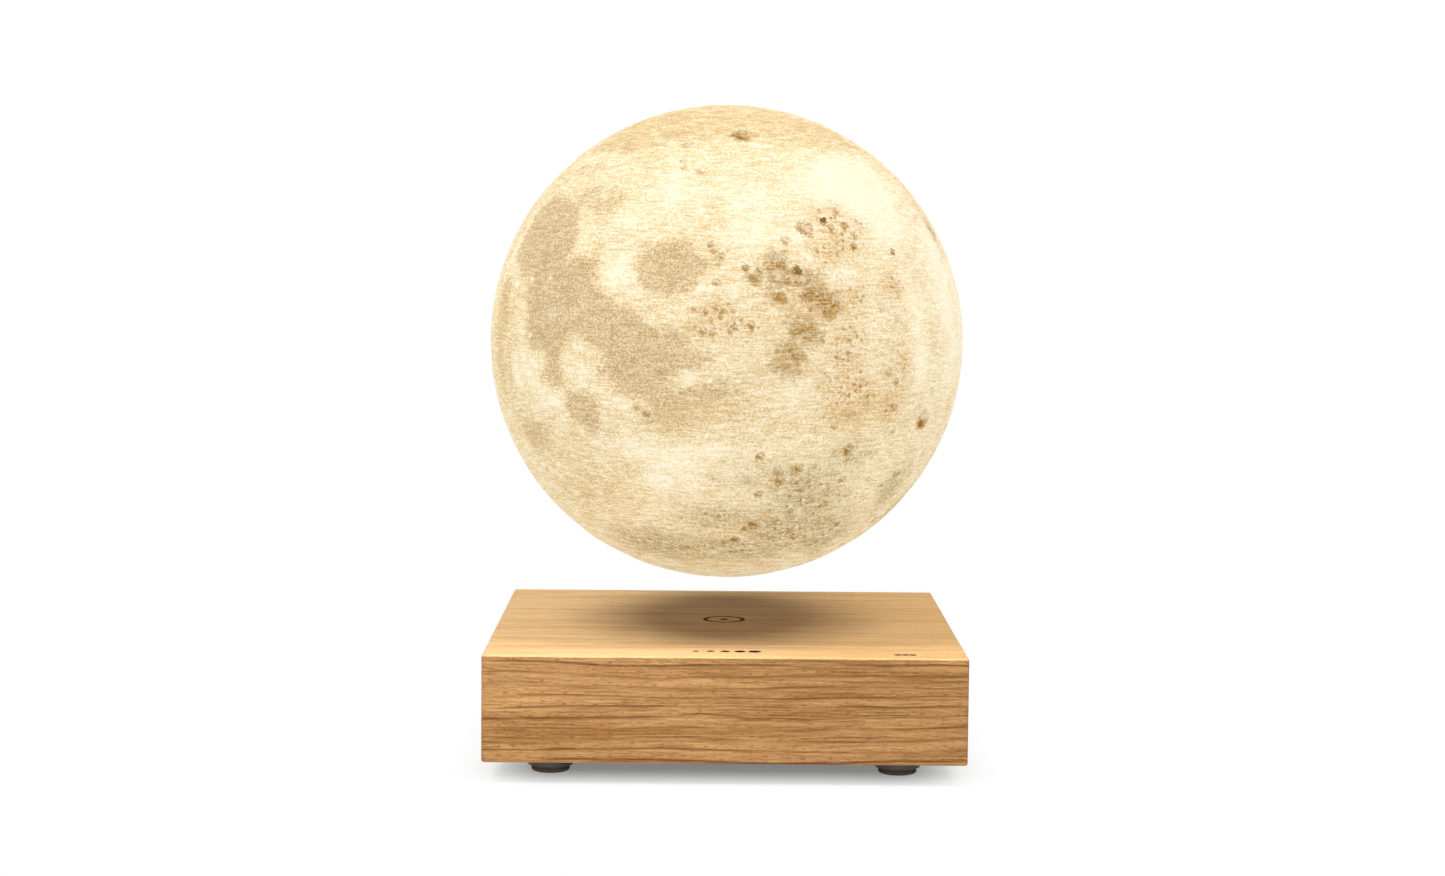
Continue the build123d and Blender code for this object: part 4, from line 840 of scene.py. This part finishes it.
def inner_materials(settings):
    """Materials of the pieces inside the lamp, by their slot."""
    # Name, two shades, size of the blotches and depth of the bumps in millimetres, roughness, IOR
    moulded = {
        # Moulded ABS with a fine grain: a soft, dull black
        "black_plastic": ("ABS, moulded, black", "1C1C1D", "26262A", 0.6, 0.04, 0.55, 1.5),
        # Moulded ABS: a plain off-white with a low sheen
        "frame_plastic": ("ABS, moulded, off-white", "DCDAD2", "D0CDC3", 1.2, 0.03, 0.5, 1.5),
        # Sintered ferrite: a dark grey, dull ceramic
        "ferrite": ("Ferrite, sintered", "36363A", "28282B", 0.5, 0.05, 0.7, 1.6),
        # Moulded epoxy: nearly black, with a faint dust
        "chip": ("Epoxy, moulded", "17181A", "212225", 0.4, 0.03, 0.6, 1.5),
        # Moulded nylon: a waxy cream
        "socket": ("Nylon, moulded, cream", "E8E2CC", "DCD5BC", 0.9, 0.02, 0.35, 1.52),
        # Moulded nylon: a plain white with a low sheen
        "white_plastic": ("Nylon, moulded, white", "ECEAE4", "DFDCD4", 1.0, 0.03, 0.45, 1.5),
    }
    # Name, two shades, roughness, and marks a millimetre each way where they aren't level
    metals = {
        # Zinc-plated steel, drawn: bright grey with fine marks
        "steel": ("Zinc-plated steel, drawn", "B9BABD", "A2A3A7", 0.3),
        # Bare brass, turned: warm yellow with a clear highlight
        "brass": ("Brass, turned", "C9A253", "B48B3E", 0.26),
        # Bare soft iron, sawn and ground: a dull grey metal
        "soft_iron": ("Soft iron, ground", "8B8A88", "74716D", 0.45),
        # Drawn aluminium can: upright drawing marks
        "can": ("Aluminium can, drawn", "C9C9CC", "B5B5B9", 0.3, (6.0, 6.0, 0.3)),
        # Nickel plating over a pressed magnet: the brightest metal inside
        "nickel": ("Nickel plating", "D2CFC8", "C2BEB6", 0.14),
        # Drawn aluminium rod: a soft silver highlight
        "aluminium": ("Aluminium, drawn", "CFD0D2", "BCBDC0", 0.34),
    }
    made = {slot: make(name, linear(colour), linear(second), *rest)
            for make, rows in ((flecked, moulded), (marked_metal, metals))
            for slot, (name, colour, second, *rest) in rows.items()}
    return made | {
        "copper": copper_wire("Copper, enamelled"),
        "board": circuit_board("Circuit board, solder mask", settings.board, settings.track),
        # Extruded PVC: smooth and slightly glossy
        "lead": flecked("PVC, extruded", settings.lead, linear("8C1713"), 1.5, 0.02, 0.38, 1.5),
        # Phosphor over the diodes: the warm source of the glow
        "led": lit_plastic("Phosphor, lit", linear("FFE2A0"), settings.led),
        # Opal acrylic: glows evenly, without a hot spot
        "diffuser": lit_plastic("Acrylic, opal, lit", linear("FFE9B8"), 1.2),
    }


# ---- pieces made by Geometry Nodes ----

CONE, INSTANCES = "GeometryNodeMeshCone", "GeometryNodeInstanceOnPoints"
TRANSFORM, CIRCLE = "GeometryNodeTransform", "GeometryNodeCurvePrimitiveCircle"


def start_group(name, inputs):
    """Geometry Nodes tree with named number inputs and one geometry output."""
    group = bpy.data.node_groups.new(name, "GeometryNodeTree")
    group.interface.new_socket("Geometry", in_out="INPUT", socket_type="NodeSocketGeometry")
    for label, value in inputs.items():
        socket = group.interface.new_socket(label, in_out="INPUT", socket_type="NodeSocketFloat")
        socket.default_value = value
    group.interface.new_socket("Geometry", in_out="OUTPUT", socket_type="NodeSocketGeometry")
    return group, add(group, "NodeGroupInput").node.outputs


def finish_group(group, piece, points, material):
    """End a tree with its piece at each of the points, as real geometry in one material."""
    placed = add(group, INSTANCES, points, named={"Instance": piece})
    real = add(group, "GeometryNodeRealizeInstances", placed)
    dressed = add(group, "GeometryNodeSetMaterial", real, named={"Material": material})
    add(group, "NodeGroupOutput", dressed)
    return group


def made_by(group, name, values, points):
    """Plain mesh that a tree makes, with its inputs set by their names, once at each of the points."""
    carrier_mesh = bpy.data.meshes.new(name)
    carrier_mesh.from_pydata(points, [], [])
    carrier = in_scene(name + "_carrier", carrier_mesh)
    modifier = carrier.modifiers.new("made", "NODES")
    modifier.node_group = group
    for item in group.interface.items_tree:
        if item.item_type == "SOCKET" and item.in_out == "INPUT" and item.name in values:
            modifier[item.identifier] = values[item.name]
    graph = bpy.context.evaluated_depsgraph_get()
    mesh = bpy.data.meshes.new_from_object(carrier.evaluated_get(graph))
    mesh.name = name
    carrier.modifiers.remove(modifier)
    bpy.data.objects.remove(carrier)
    return mesh


def screw_group():
    """Countersunk screw at each point: a head with a cross recess, a shank, ridges of thread and a tip."""
    group, sizes = start_group("countersunk_screws", {
        "Head Radius": 2.0 * MM, "Head Height": 1.2 * MM, "Shank Radius": 1.2 * MM, "Length": 10 * MM,
        "Recess Length": 2.2 * MM, "Recess Width": 0.5 * MM, "Recess Depth": 0.6 * MM, "Thread Pitch": 0.8 * MM})
    head_high, shank = sizes["Head Height"], sizes["Shank Radius"]
    core = add(group, MATH, shank, 0.8, **TIMES)
    head = add(group, CONE, 28, named={"Radius Top": shank, "Radius Bottom": sizes["Head Radius"],
                                       "Depth": head_high})
    recess_high = add(group, MATH, sizes["Recess Depth"], 2.0, **TIMES)
    bars = [add(group, "GeometryNodeMeshCube", add(group, COMBINE, sizes[across], sizes[along], recess_high))
            for across, along in (("Recess Width", "Recess Length"), ("Recess Length", "Recess Width"))]
    cut = add(group, "GeometryNodeMeshBoolean", head, bars, operation="DIFFERENCE", solver="EXACT")

    tip_high = add(group, MATH, shank, 1.4, **TIMES)
    tip_low = add(group, MATH, sizes["Length"], tip_high, **LESS)
    body_high = add(group, MATH, tip_low, head_high, **LESS)
    to_body = add(group, COMBINE, named={"Z": head_high})
    body = add(group, CONE, 14, named={"Radius Top": core, "Radius Bottom": core, "Depth": body_high})
    body = add(group, TRANSFORM, body, named={"Translation": to_body})
    tip = add(group, CONE, 14, named={"Radius Top": 0.0, "Radius Bottom": core, "Depth": tip_high})
    tip = add(group, TRANSFORM, tip, named={"Translation": add(group, COMBINE, named={"Z": tip_low})})

    pitch = sizes["Thread Pitch"]
    turns = add(group, MATH, add(group, MATH, body_high, pitch, **PER), operation="FLOOR")
    line = add(group, "GeometryNodeMeshLine", named={
        "Count": turns, "Start Location": to_body, "Offset": add(group, COMBINE, named={"Z": pitch})})
    ridge = add(group, CONE, 14, named={"Radius Top": core, "Radius Bottom": shank,
                                        "Depth": add(group, MATH, pitch, 0.7, **TIMES)})
    thread = add(group, INSTANCES, line, named={"Instance": ridge})
    screw = add(group, "GeometryNodeJoinGeometry", [thread, tip, body, cut])
    # Zinc-plated steel, turned: bright grey, with fine marks that spread its highlight
    steel = marked_metal("Zinc-plated steel, turned", linear("B9BABD"), linear("9FA0A4"), 0.32)
    return finish_group(group, screw, sizes["Geometry"], steel)


def winding_group():
    """Round coil at each point: a core of wire with its outer turns laid as separate rings."""
    group, sizes = start_group("coil_windings", {
        "Inner Radius": 4.5 * MM, "Outer Radius": 11 * MM, "Height": 8.4 * MM, "Wire Radius": 0.3 * MM})
    wire, high = sizes["Wire Radius"], sizes["Height"]
    middle = add(group, MATH, sizes["Outer Radius"], wire, **LESS)
    loop = add(group, "GeometryNodeCurveToMesh", add(group, CIRCLE, 40, named={"Radius": middle}), named={
        "Profile Curve": add(group, CIRCLE, 6, named={"Radius": wire})})
    pitch = add(group, MATH, wire, 2.0, **TIMES)
    turns = add(group, MATH, add(group, MATH, high, pitch, **PER), operation="FLOOR")
    line = add(group, "GeometryNodeMeshLine", named={
        "Count": turns, "Start Location": add(group, COMBINE, named={"Z": wire}),
        "Offset": add(group, COMBINE, named={"Z": pitch})})
    outside = add(group, INSTANCES, line, named={"Instance": loop})
    disc = add(group, CONE, 40, named={"Radius Top": middle, "Radius Bottom": middle, "Depth": high})
    inner = sizes["Inner Radius"]
    bore = add(group, CONE, 32, named={"Radius Top": inner, "Radius Bottom": inner,
                                       "Depth": add(group, MATH, high, 3.0, **TIMES)})
    down = add(group, COMBINE, named={"Z": add(group, MATH, high, -1.0, **TIMES)})
    lowered = add(group, TRANSFORM, bore, named={"Translation": down})
    core = add(group, "GeometryNodeMeshBoolean", disc, lowered, operation="DIFFERENCE", solver="EXACT")
    coil = add(group, "GeometryNodeJoinGeometry", [outside, core])
    return finish_group(group, coil, sizes["Geometry"], copper_wire("Copper winding wire, enamelled"))


def spiral_group():
    """Flat coil at each point: one wire wound outwards in a plane."""
    group, sizes = start_group("flat_coil", {
        "Inner Radius": 20 * MM, "Outer Radius": 31 * MM, "Wire Radius": 0.5 * MM})
    wire = sizes["Wire Radius"]
    low = add(group, MATH, sizes["Inner Radius"], wire)
    high = add(group, MATH, sizes["Outer Radius"], wire, **LESS)
    pitch = add(group, MATH, wire, 2.05, **TIMES)
    turns = add(group, MATH, add(group, MATH, high, low, **LESS), pitch, **PER)
    spiral = add(group, "GeometryNodeCurveSpiral", 56, turns, low, high, 0.0)
    coil = add(group, "GeometryNodeCurveToMesh", spiral, named={
        "Profile Curve": add(group, CIRCLE, 8, named={"Radius": wire}), "Fill Caps": True})
    return finish_group(group, coil, sizes["Geometry"], copper_wire("Copper litz strand, enamelled"))


# ---- settings ----

def size(name, description, default):
    """Length property in metres."""
    return bpy.props.FloatProperty(name=name, description=description, default=default, unit="LENGTH", precision=5)


def share(name, description, default):
    """Plain number property."""
    return bpy.props.FloatProperty(name=name, description=description, default=default, precision=4)


def shade(name, description, code):
    """Colour property, given as an sRGB hex value."""
    return bpy.props.FloatVectorProperty(name=name, description=description, default=linear(code),
                                         size=4, subtype="COLOR", min=0.0, max=1.0)


class GlobeSettings(bpy.types.PropertyGroup):
    fineness: bpy.props.IntProperty(name="Fineness", description="Grid steps along one side of the globe's mesh",
                                    default=118, min=8)
    focus: share("Focus", "How strongly the mesh is drawn together towards the front", 1.9)
    depth: size("Depth", "Level of the mean ground under the highest rims", 0.3 * MM)
    relief: bpy.props.FloatProperty(name="Relief", description="Height of the relief in metres per millimetre drawn",
                                    default=1.0 * MM, precision=5)
    cap_radius: size("Cap radius", "Outer radius of the cap that closes the globe", 35.85 * MM)
    glow: share("Glow", "Share of the globe's colour that comes from the light inside it", 0.76)
    streak: share("Streaks", "Strength of the level streaks of the print", 1.5)
    grain: share("Grain", "Strength of the fine grain of the print", 1.7)
    ground: shade("Ground", "Middle shade of the bright ground", "F0DCB2")
    light: shade("Light ground", "Lighter shade of the ground", "F8E8C4")
    # Brightest also paints the highlight on the far side of the craters and at the upper right of the globe
    bright: shade("Brightest", "Rims and the upper right", "FFF6DC")
    warm: shade("Warm", "Yellower shade of the ground", "E6CC9C")
    dull: shade("Dull ground", "Darkest shade of the ground", "D2B582")
    plain: shade("Plain", "Pale shade of the dark plains", "E9D1A6")
    plain_dark: shade("Dark plain", "Dark shade of the plains", "BA9E72")
    ochre: shade("Ochre", "Rough ochre ground right of the middle", "A27622")
    rust: shade("Rust", "Spots of the rusty ground at the right", "C8924A")
    dust: shade("Dust", "Pale shade of the grey ground near the bottom", "EAD8AE")
    dust_dark: shade("Dark dust", "Dark shade of the grey ground near the bottom", "9C8658")
    pit: shade("Pits", "Floors and rims of the craters", "9E7016")
    pit_deep: shade("Deep pits", "Floors of the sharpest craters", "7C5A06")


class OakSettings(bpy.types.PropertyGroup):
    ring_pitch: size("Ring pitch", "Mean width of a growth ring", 2.8 * MM)
    oak_pale: shade("Pale fibres", "Palest fibres", "F0C892")
    oak_light: shade("Light oak", "Pale shade of the sides", "D0A16D")
    oak_mid: shade("Middle oak", "Brown shade of the sides", "A57847")
    oak_line: shade("Latewood", "Dark lines of the grain", "643D1C")
    oak_pore: shade("Pores", "Open pores of the oak", "64401F")
    # The top's shades carry painted light: paler than the sides partly by painted light from above, paler at the left
    # and darker at the right by painted shade
    top_left_painted_light: shade("Pale top", "Top at the left", "F2CC98")
    top_right_painted_shade: shade("Warm top", "Top at the right", "F0C48A")
    top_streak: shade("Top streaks", "Darker streaks of the top", "DCAC72")
    burnt: shade("Burnt marks", "Floor of the engraved marks", "3C2614")


class FeetSettings(bpy.types.PropertyGroup):
    taper: size("Taper", "How much narrower the collar's neck is than its top", 1.3 * MM)
    collar: shade("Collar", "Plastic of the collars", "4A4740")
    collar_pale: shade("Worn collar", "Paler blotches of the plastic", "5A564E")
    pad: shade("Pad", "Rubber of the pads", "524335")
    pad_pale: shade("Dusty pad", "Paler blotches of the rubber", "625142")


class ScrewSettings(bpy.types.PropertyGroup):
    plate_head: size("Plate screw head", "Radius of the heads under the bottom plate", 2.15 * MM)
    frame_head: size("Frame screw head", "Radius of the heads that hold the levitation module", 2.15 * MM)
    head_height: size("Head height", "Height of a screw's head", 1.3 * MM)
    shank: size("Shank", "Radius of a screw over its thread", 1.18 * MM)


class CoilSettings(bpy.types.PropertyGroup):
    wire: size("Wire", "Radius of the wire of the lifting coils", 0.35 * MM)
    thickness: size("Winding", "Thickness of the wire wound on a lifting coil", 6 * MM)
    transmit_bore: size("Lower coil bore", "Inner radius of the flat coil in the base", 20.1 * MM)
    receive_bore: size("Upper coil bore", "Inner radius of the flat coil in the globe", 22.6 * MM)


class SurfaceSettings(bpy.types.PropertyGroup):
    board: shade("Board", "Solder mask of the circuit boards", "0E4A2A")
    track: shade("Tracks", "Tracks under the solder mask", "1F6B3E")
    lead: shade("Leads", "Insulation of the leads", "A5201C")
    led: share("Diode glow", "Strength of the light of the diodes", 4.0)


class StageSettings(bpy.types.PropertyGroup):
    lens: bpy.props.FloatProperty(name="Lens", description="Focal length of the camera", default=69.83, unit="CAMERA")
    floor: size("Floor", "Half width of the floor", 3.0)
    above_share: share("Light from above", "Share of the light that the lamp above gives a face turned to it", 0.13)
    left_share: share("Left light", "Share of the light from the left lamp", 0.86)
    right_share: share("Right light", "Share of the light from the right lamp", 0.7)
    low_share: share("Low light", "Share of the light from the low lamp in front", 0.385)
    ambient: share("Ambient", "Strength of the light from all round", 0.15)
    lift: share("Lift", "Share of white that the paper keeps in the deepest shadow", 0.2)
    light_tint: shade("Light tint", "Colour of the studio light", "FFFBF4")


# ---- pieces ----

def dress(materials):
    """Give the frame's pieces the material of their slot."""
    for node, piece in frame["nodes"].items():
        material = materials.get(slot_of[node])
        if material:
            for place in piece.material_slots:
                place.material = material


class MOONLAMP_OT_globe(bpy.types.Operator):
    """Make the printed globe: its relief, the markings on it and the cap that closes it"""
    bl_idname = "moonlamp.globe"
    bl_label = "Globe"

    def execute(self, context):
        settings = context.scene.moon_globe
        material = printed_globe(settings)
        for make, name, node in ((shell_mesh, "globe", "moon_shell"), (cap_mesh, "globe_bottom", "moon_cap")):
            mesh = make(settings)
            mark_points(mesh, settings)
            piece = show(mesh, name, "moon", [node], material)
            piece.visible_diffuse = False
        return {"FINISHED"}


class MOONLAMP_OT_oak(bpy.types.Operator):
    """Give the oak block its wood"""
    bl_idname = "moonlamp.oak"
    bl_label = "Oak block"

    def execute(self, context):
        dress({"oak": oiled_oak(context.scene.moon_oak)})
        return {"FINISHED"}


# Section of a collar: distance from its neck or its top edge, height, and whether the neck is meant
COLLAR_PROFILE = [
    (-1.0, 0.0, True), (-0.25, 0.0, True), (-0.2, 0.1, True), (-0.22, 0.28, True), (-0.05, 0.36, True),
    (0.3, 0.46, True), (-0.5, 0.56, False), (-0.16, 0.68, False), (-0.03, 0.82, False), (0.0, 1.0, False),
    (0.0, 1.5, False),
]
# Section of a pad: distance from its edge, and height
PAD_PROFILE = [
    (-4.2, 0.3), (-4.0, 0.0), (-1.3, 0.0), (-0.7, 0.1), (-0.25, 0.32), (-0.04, 0.62), (0.0, 0.9), (-0.06, 1.1),
    (-0.3, 1.25), (-3.0, 1.28),
]


class MOONLAMP_OT_feet(bpy.types.Operator):
    """Make the four feet: turned collars with a ridge, and rubber pads with a soft edge"""
    bl_idname = "moonlamp.feet"
    bl_label = "Feet"

    def execute(self, context):
        settings = context.scene.moon_feet
        collar_material, pad_material = feet_materials(settings)
        collar_nodes, pad_nodes = ([f"foot_{kind}_{number}" for number in range(1, 5)] for kind in ("collar", "pad"))
        steps, clear = 56, 0.02 * MM        # steps round a foot, and how far it stays inside the frame's piece
        collars, pads = [], []
        for collar_node, pad_node in zip(collar_nodes, pad_nodes):
            low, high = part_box(collar_node)
            x, y = (low[0] + high[0]) / 2, (low[1] + high[1]) / 2
            wide, level = (high[0] - low[0]) / 2 - clear, low[2] + clear
            neck = wide - settings.taper
            profile = [(radius * MM + (neck if near_pad else wide), height * MM + level)
                       for radius, height, near_pad in COLLAR_PROFILE]
            collars.append(turned(profile + [(wide, high[2])], steps, x, y))
            low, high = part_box(pad_node)
            wide = (high[0] - low[0]) / 2 - clear
            pads.append(turned([(wide + radius * MM, low[2] + height * MM) for radius, height in PAD_PROFILE],
                               steps, x, y))
        show(mesh_of("collars", *together(collars)), "feet_collars", "base", collar_nodes,
             collar_material)
        show(mesh_of("pads", *together(pads)), "feet_pads", "base", pad_nodes, pad_material)
        return {"FINISHED"}


class MOONLAMP_OT_screws(bpy.types.Operator):
    """Make the countersunk screws of the bottom plate and of the levitation module"""
    bl_idname = "moonlamp.screws"
    bl_label = "Screws"

    def execute(self, context):
        settings = context.scene.moon_screws
        screws = screw_group()
        near, far, head_room, clear = 36 * MM, 66.5 * MM, 2.2 * MM, 0.05 * MM
        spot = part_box("frame_screws")[1][0] - head_room
        for node, name, head, spots in (
                ("plate_screws", "screws_of_plate", settings.plate_head, ((near, far), (far, near))),
                ("frame_screws", "screws_of_module", settings.frame_head, ((spot, spot),))):
            low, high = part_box(node)
            places = [(x * a, y * b, low[2]) for x, y in spots for a in (-1, 1) for b in (-1, 1)]
            sizes = {"Head Radius": head, "Head Height": settings.head_height, "Shank Radius": settings.shank,
                     "Length": high[2] - low[2] - clear}
            show(made_by(screws, node + "_made", sizes, places), name, "base", [node], smooth=False)
        return {"FINISHED"}


class MOONLAMP_OT_coils(bpy.types.Operator):
    """Wind the four lifting coils and the two flat coils"""
    bl_idname = "moonlamp.coils"
    bl_label = "Coils"

    def execute(self, context):
        settings = context.scene.moon_coils
        coils = [f"coil_winding_{number}" for number in range(1, 5)]
        boxes = [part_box(coil) for coil in coils]
        clear = 0.02 * MM       # how far the turns stay inside the frame's rings
        places = [((low[0] + high[0]) / 2, (low[1] + high[1]) / 2, low[2] + clear) for low, high in boxes]
        low, high = boxes[0]
        outer = (high[0] - low[0]) / 2
        sizes = {"Inner Radius": outer - settings.thickness, "Outer Radius": outer - 2.5 * clear,
                 "Height": high[2] - low[2] - 2 * clear, "Wire Radius": settings.wire}
        show(made_by(winding_group(), "windings_made", sizes, places), "windings", "base", coils)
        spiral = spiral_group()
        for node, body, inner in (("transmit_coil", "base", settings.transmit_bore),
                                  ("receiver_coil", "moon", settings.receive_bore)):
            low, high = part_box(node)
            sizes = {"Inner Radius": inner, "Outer Radius": high[0] - 5 * clear,
                     "Wire Radius": (high[2] - low[2]) / 2 - clear}
            mesh = made_by(spiral, node + "_made", sizes, [(0, 0, (low[2] + high[2]) / 2)])
            show(mesh, node + "_strand", body, [node])
        return {"FINISHED"}


class MOONLAMP_OT_surfaces(bpy.types.Operator):
    """Give every other piece of the frame its surface"""
    bl_idname = "moonlamp.surfaces"
    bl_label = "Surfaces"

    def execute(self, context):
        dress(inner_materials(context.scene.moon_surfaces))
        return {"FINISHED"}


# ---- stage ----

# Soft square lamps: name, height of its aim, azimuth and elevation in degrees, distance and width
LAMPS = [
    ("above", 0.05, 6, 78, 1.5, 0.6),
    ("left", 0.04, -72, 61, 1.3, 0.6),
    ("right", 0.04, 70, 61, 1.3, 0.6),
    ("low", 0.03, -4, 9, 1.6, 0.5),
]
# Place of the camera in metres, and its turns in degrees from a level view along +Y
CAMERA_PLACE = (-0.0063, -0.8905, 0.1703)
CAMERA_TURNS = (("Z", -0.338), ("X", -4.709), ("Y", -0.518))


def area_light(name, aim, azimuth, elevation, distance, wide, settings):
    """Soft square lamp that gives a face turned to it one share of full light at the object."""
    data = bpy.data.lights.new(name, "AREA")
    data.shape = "SQUARE"
    data.size = wide
    data.energy = pi * pi * distance ** 2 * getattr(settings, name + "_share")
    data.color = tuple(settings.light_tint)[:3]
    data.cycles.use_multiple_importance_sampling = False
    lamp = in_scene(name, data)
    azimuth, elevation = radians(azimuth), radians(elevation)
    away = np.array((sin(azimuth) * cos(elevation), -cos(azimuth) * cos(elevation), sin(elevation)))
    right = np.array((cos(azimuth), sin(azimuth), 0.0))
    place = Matrix.Translation(np.array((0, 0, aim)) + away * distance)
    lamp.matrix_world = place @ Matrix((right, np.cross(away, right), away)).transposed().to_4x4()
    return lamp


def seen_share(tree):
    """1 for the rays that show something to the camera, straight, mirrored or through glass."""
    rays = add(tree, "ShaderNodeLightPath").node.outputs
    straight = add(tree, MATH, rays["Is Camera Ray"], rays["Is Glossy Ray"])
    return add(tree, MATH, straight, rays["Is Transmission Ray"], use_clamp=True)


def paper_floor(settings):
    """Matt white paper: white to the camera, apart from the soft shadow close round the base."""
    material = bpy.data.materials.new("White paper, matt")
    material.use_nodes = True
    tree = material.node_tree
    tree.nodes.clear()
    place = add(tree, "ShaderNodeTexCoord", output="Object")
    # The shadow is kept from a little inside the base's edge, and fades out past it
    under_base = (oak_high[0] - 22 * MM, oak_high[1] - 24 * MM, 1.0)
    past = add(tree, VECTOR, add(tree, VECTOR, place, **ABSOLUTE), under_base, **LESS)
    distance = add(tree, VECTOR, add(tree, VECTOR, past, (0, 0, 0), **HIGHER), operation="LENGTH")
    clear = add(tree, RANGE, distance, 0.0, 36 * MM, settings.lift, 1.0, **SMOOTH)
    grain = add(tree, NOISE, place, 0.5 / MM, 2.0)
    paper = add(tree, MIX, grain, linear("CFCECC"), linear("D6D5D3"), **COLOURS)
    matt = add(tree, "ShaderNodeBsdfDiffuse", paper)
    white = add(tree, "ShaderNodeEmission", (1, 1, 1, 1), 1.0)
    mixed = add(tree, MIX_SHADER, add(tree, MATH, seen_share(tree), clear, **TIMES), matt, white)
    # From below the paper is clear, so the underside of the lamp can be looked at
    behind = add(tree, "ShaderNodeNewGeometry", output="Backfacing")
    mixed = add(tree, MIX_SHADER, behind, mixed, add(tree, "ShaderNodeBsdfTransparent"))
    add(tree, "ShaderNodeOutputMaterial", mixed)
    return material


def studio_world(settings):
    """Even soft light from all round, behind which the camera sees plain white."""
    world = bpy.data.worlds.new("studio")
    world.use_nodes = True
    tree = world.node_tree
    tree.nodes.clear()
    strength = add(tree, MIX, seen_share(tree), settings.ambient, 1.0)
    add(tree, "ShaderNodeOutputWorld", add(tree, "ShaderNodeBackground", (1, 1, 1, 1), strength))
    world.cycles.sampling_method = "NONE"
    return world


class MOONLAMP_OT_stage(bpy.types.Operator):
    """Set up the floor, the studio light and the camera"""
    bl_idname = "moonlamp.stage"
    bl_label = "Stage"

    def execute(self, context):
        settings, scene = context.scene.moon_stage, context.scene
        half, level = settings.floor, -0.2 * MM
        mesh = bpy.data.meshes.new("floor")
        mesh.from_pydata([(-half, -half, level), (half, -half, level), (half, half, level), (-half, half, level)],
                         [], [(0, 1, 2, 3)])
        mesh.materials.append(paper_floor(settings))
        floor = in_scene("floor", mesh)
        lamps = [area_light(*lamp, settings) for lamp in LAMPS]
        scene.world = studio_world(settings)

        data = bpy.data.cameras.new("camera")
        data.lens = settings.lens
        data.sensor_width = 36.0
        data.clip_start = 0.01
        camera = in_scene("camera", data)
        first, second, third = (Matrix.Rotation(radians(angle), 3, axis) for axis, angle in CAMERA_TURNS)
        turn = first @ second @ third
        axes = Matrix((turn.col[0], turn.col[2], -turn.col[1])).transposed()
        camera.matrix_world = Matrix.Translation(CAMERA_PLACE) @ axes.to_4x4()
        scene.camera = camera
        scene.view_settings.view_transform = "Standard"
        return {"FINISHED"}


class MOONLAMP_PT_panel(bpy.types.Panel):
    """Steps that build the lamp's looks"""
    bl_idname = "MOONLAMP_PT_panel"
    bl_label = "Moon Lamp"
    bl_space_type = "VIEW_3D"
    bl_region_type = "UI"
    bl_category = "Moon Lamp"

    def draw(self, context):
        layout = self.layout
        for operator, name, _ in STEPS:
            layout.operator(operator.bl_idname)
            group = getattr(context.scene, name)
            for setting in group.bl_rna.properties:
                if setting.identifier not in ("name", "rna_type"):
                    layout.prop(group, setting.identifier)


# Operators in the order they run, with the name and the class of their settings
STEPS = [
    (MOONLAMP_OT_globe, "moon_globe", GlobeSettings),
    (MOONLAMP_OT_oak, "moon_oak", OakSettings),
    (MOONLAMP_OT_feet, "moon_feet", FeetSettings),
    (MOONLAMP_OT_screws, "moon_screws", ScrewSettings),
    (MOONLAMP_OT_coils, "moon_coils", CoilSettings),
    (MOONLAMP_OT_surfaces, "moon_surfaces", SurfaceSettings),
    (MOONLAMP_OT_stage, "moon_stage", StageSettings),
]


def register():
    for operator, name, group in STEPS:
        bpy.utils.register_class(group)
        setattr(bpy.types.Scene, name, bpy.props.PointerProperty(type=group))
        bpy.utils.register_class(operator)
    bpy.utils.register_class(MOONLAMP_PT_panel)


def unregister():
    bpy.utils.unregister_class(MOONLAMP_PT_panel)
    for operator, name, group in reversed(STEPS):
        bpy.utils.unregister_class(operator)
        delattr(bpy.types.Scene, name)
        bpy.utils.unregister_class(group)


def main():
    register()
    bpy.ops.moonlamp.globe()
    bpy.ops.moonlamp.oak()
    bpy.ops.moonlamp.feet()
    bpy.ops.moonlamp.screws()
    bpy.ops.moonlamp.coils()
    bpy.ops.moonlamp.surfaces()
    bpy.ops.moonlamp.stage()


if __name__ == "__main__":
    main()
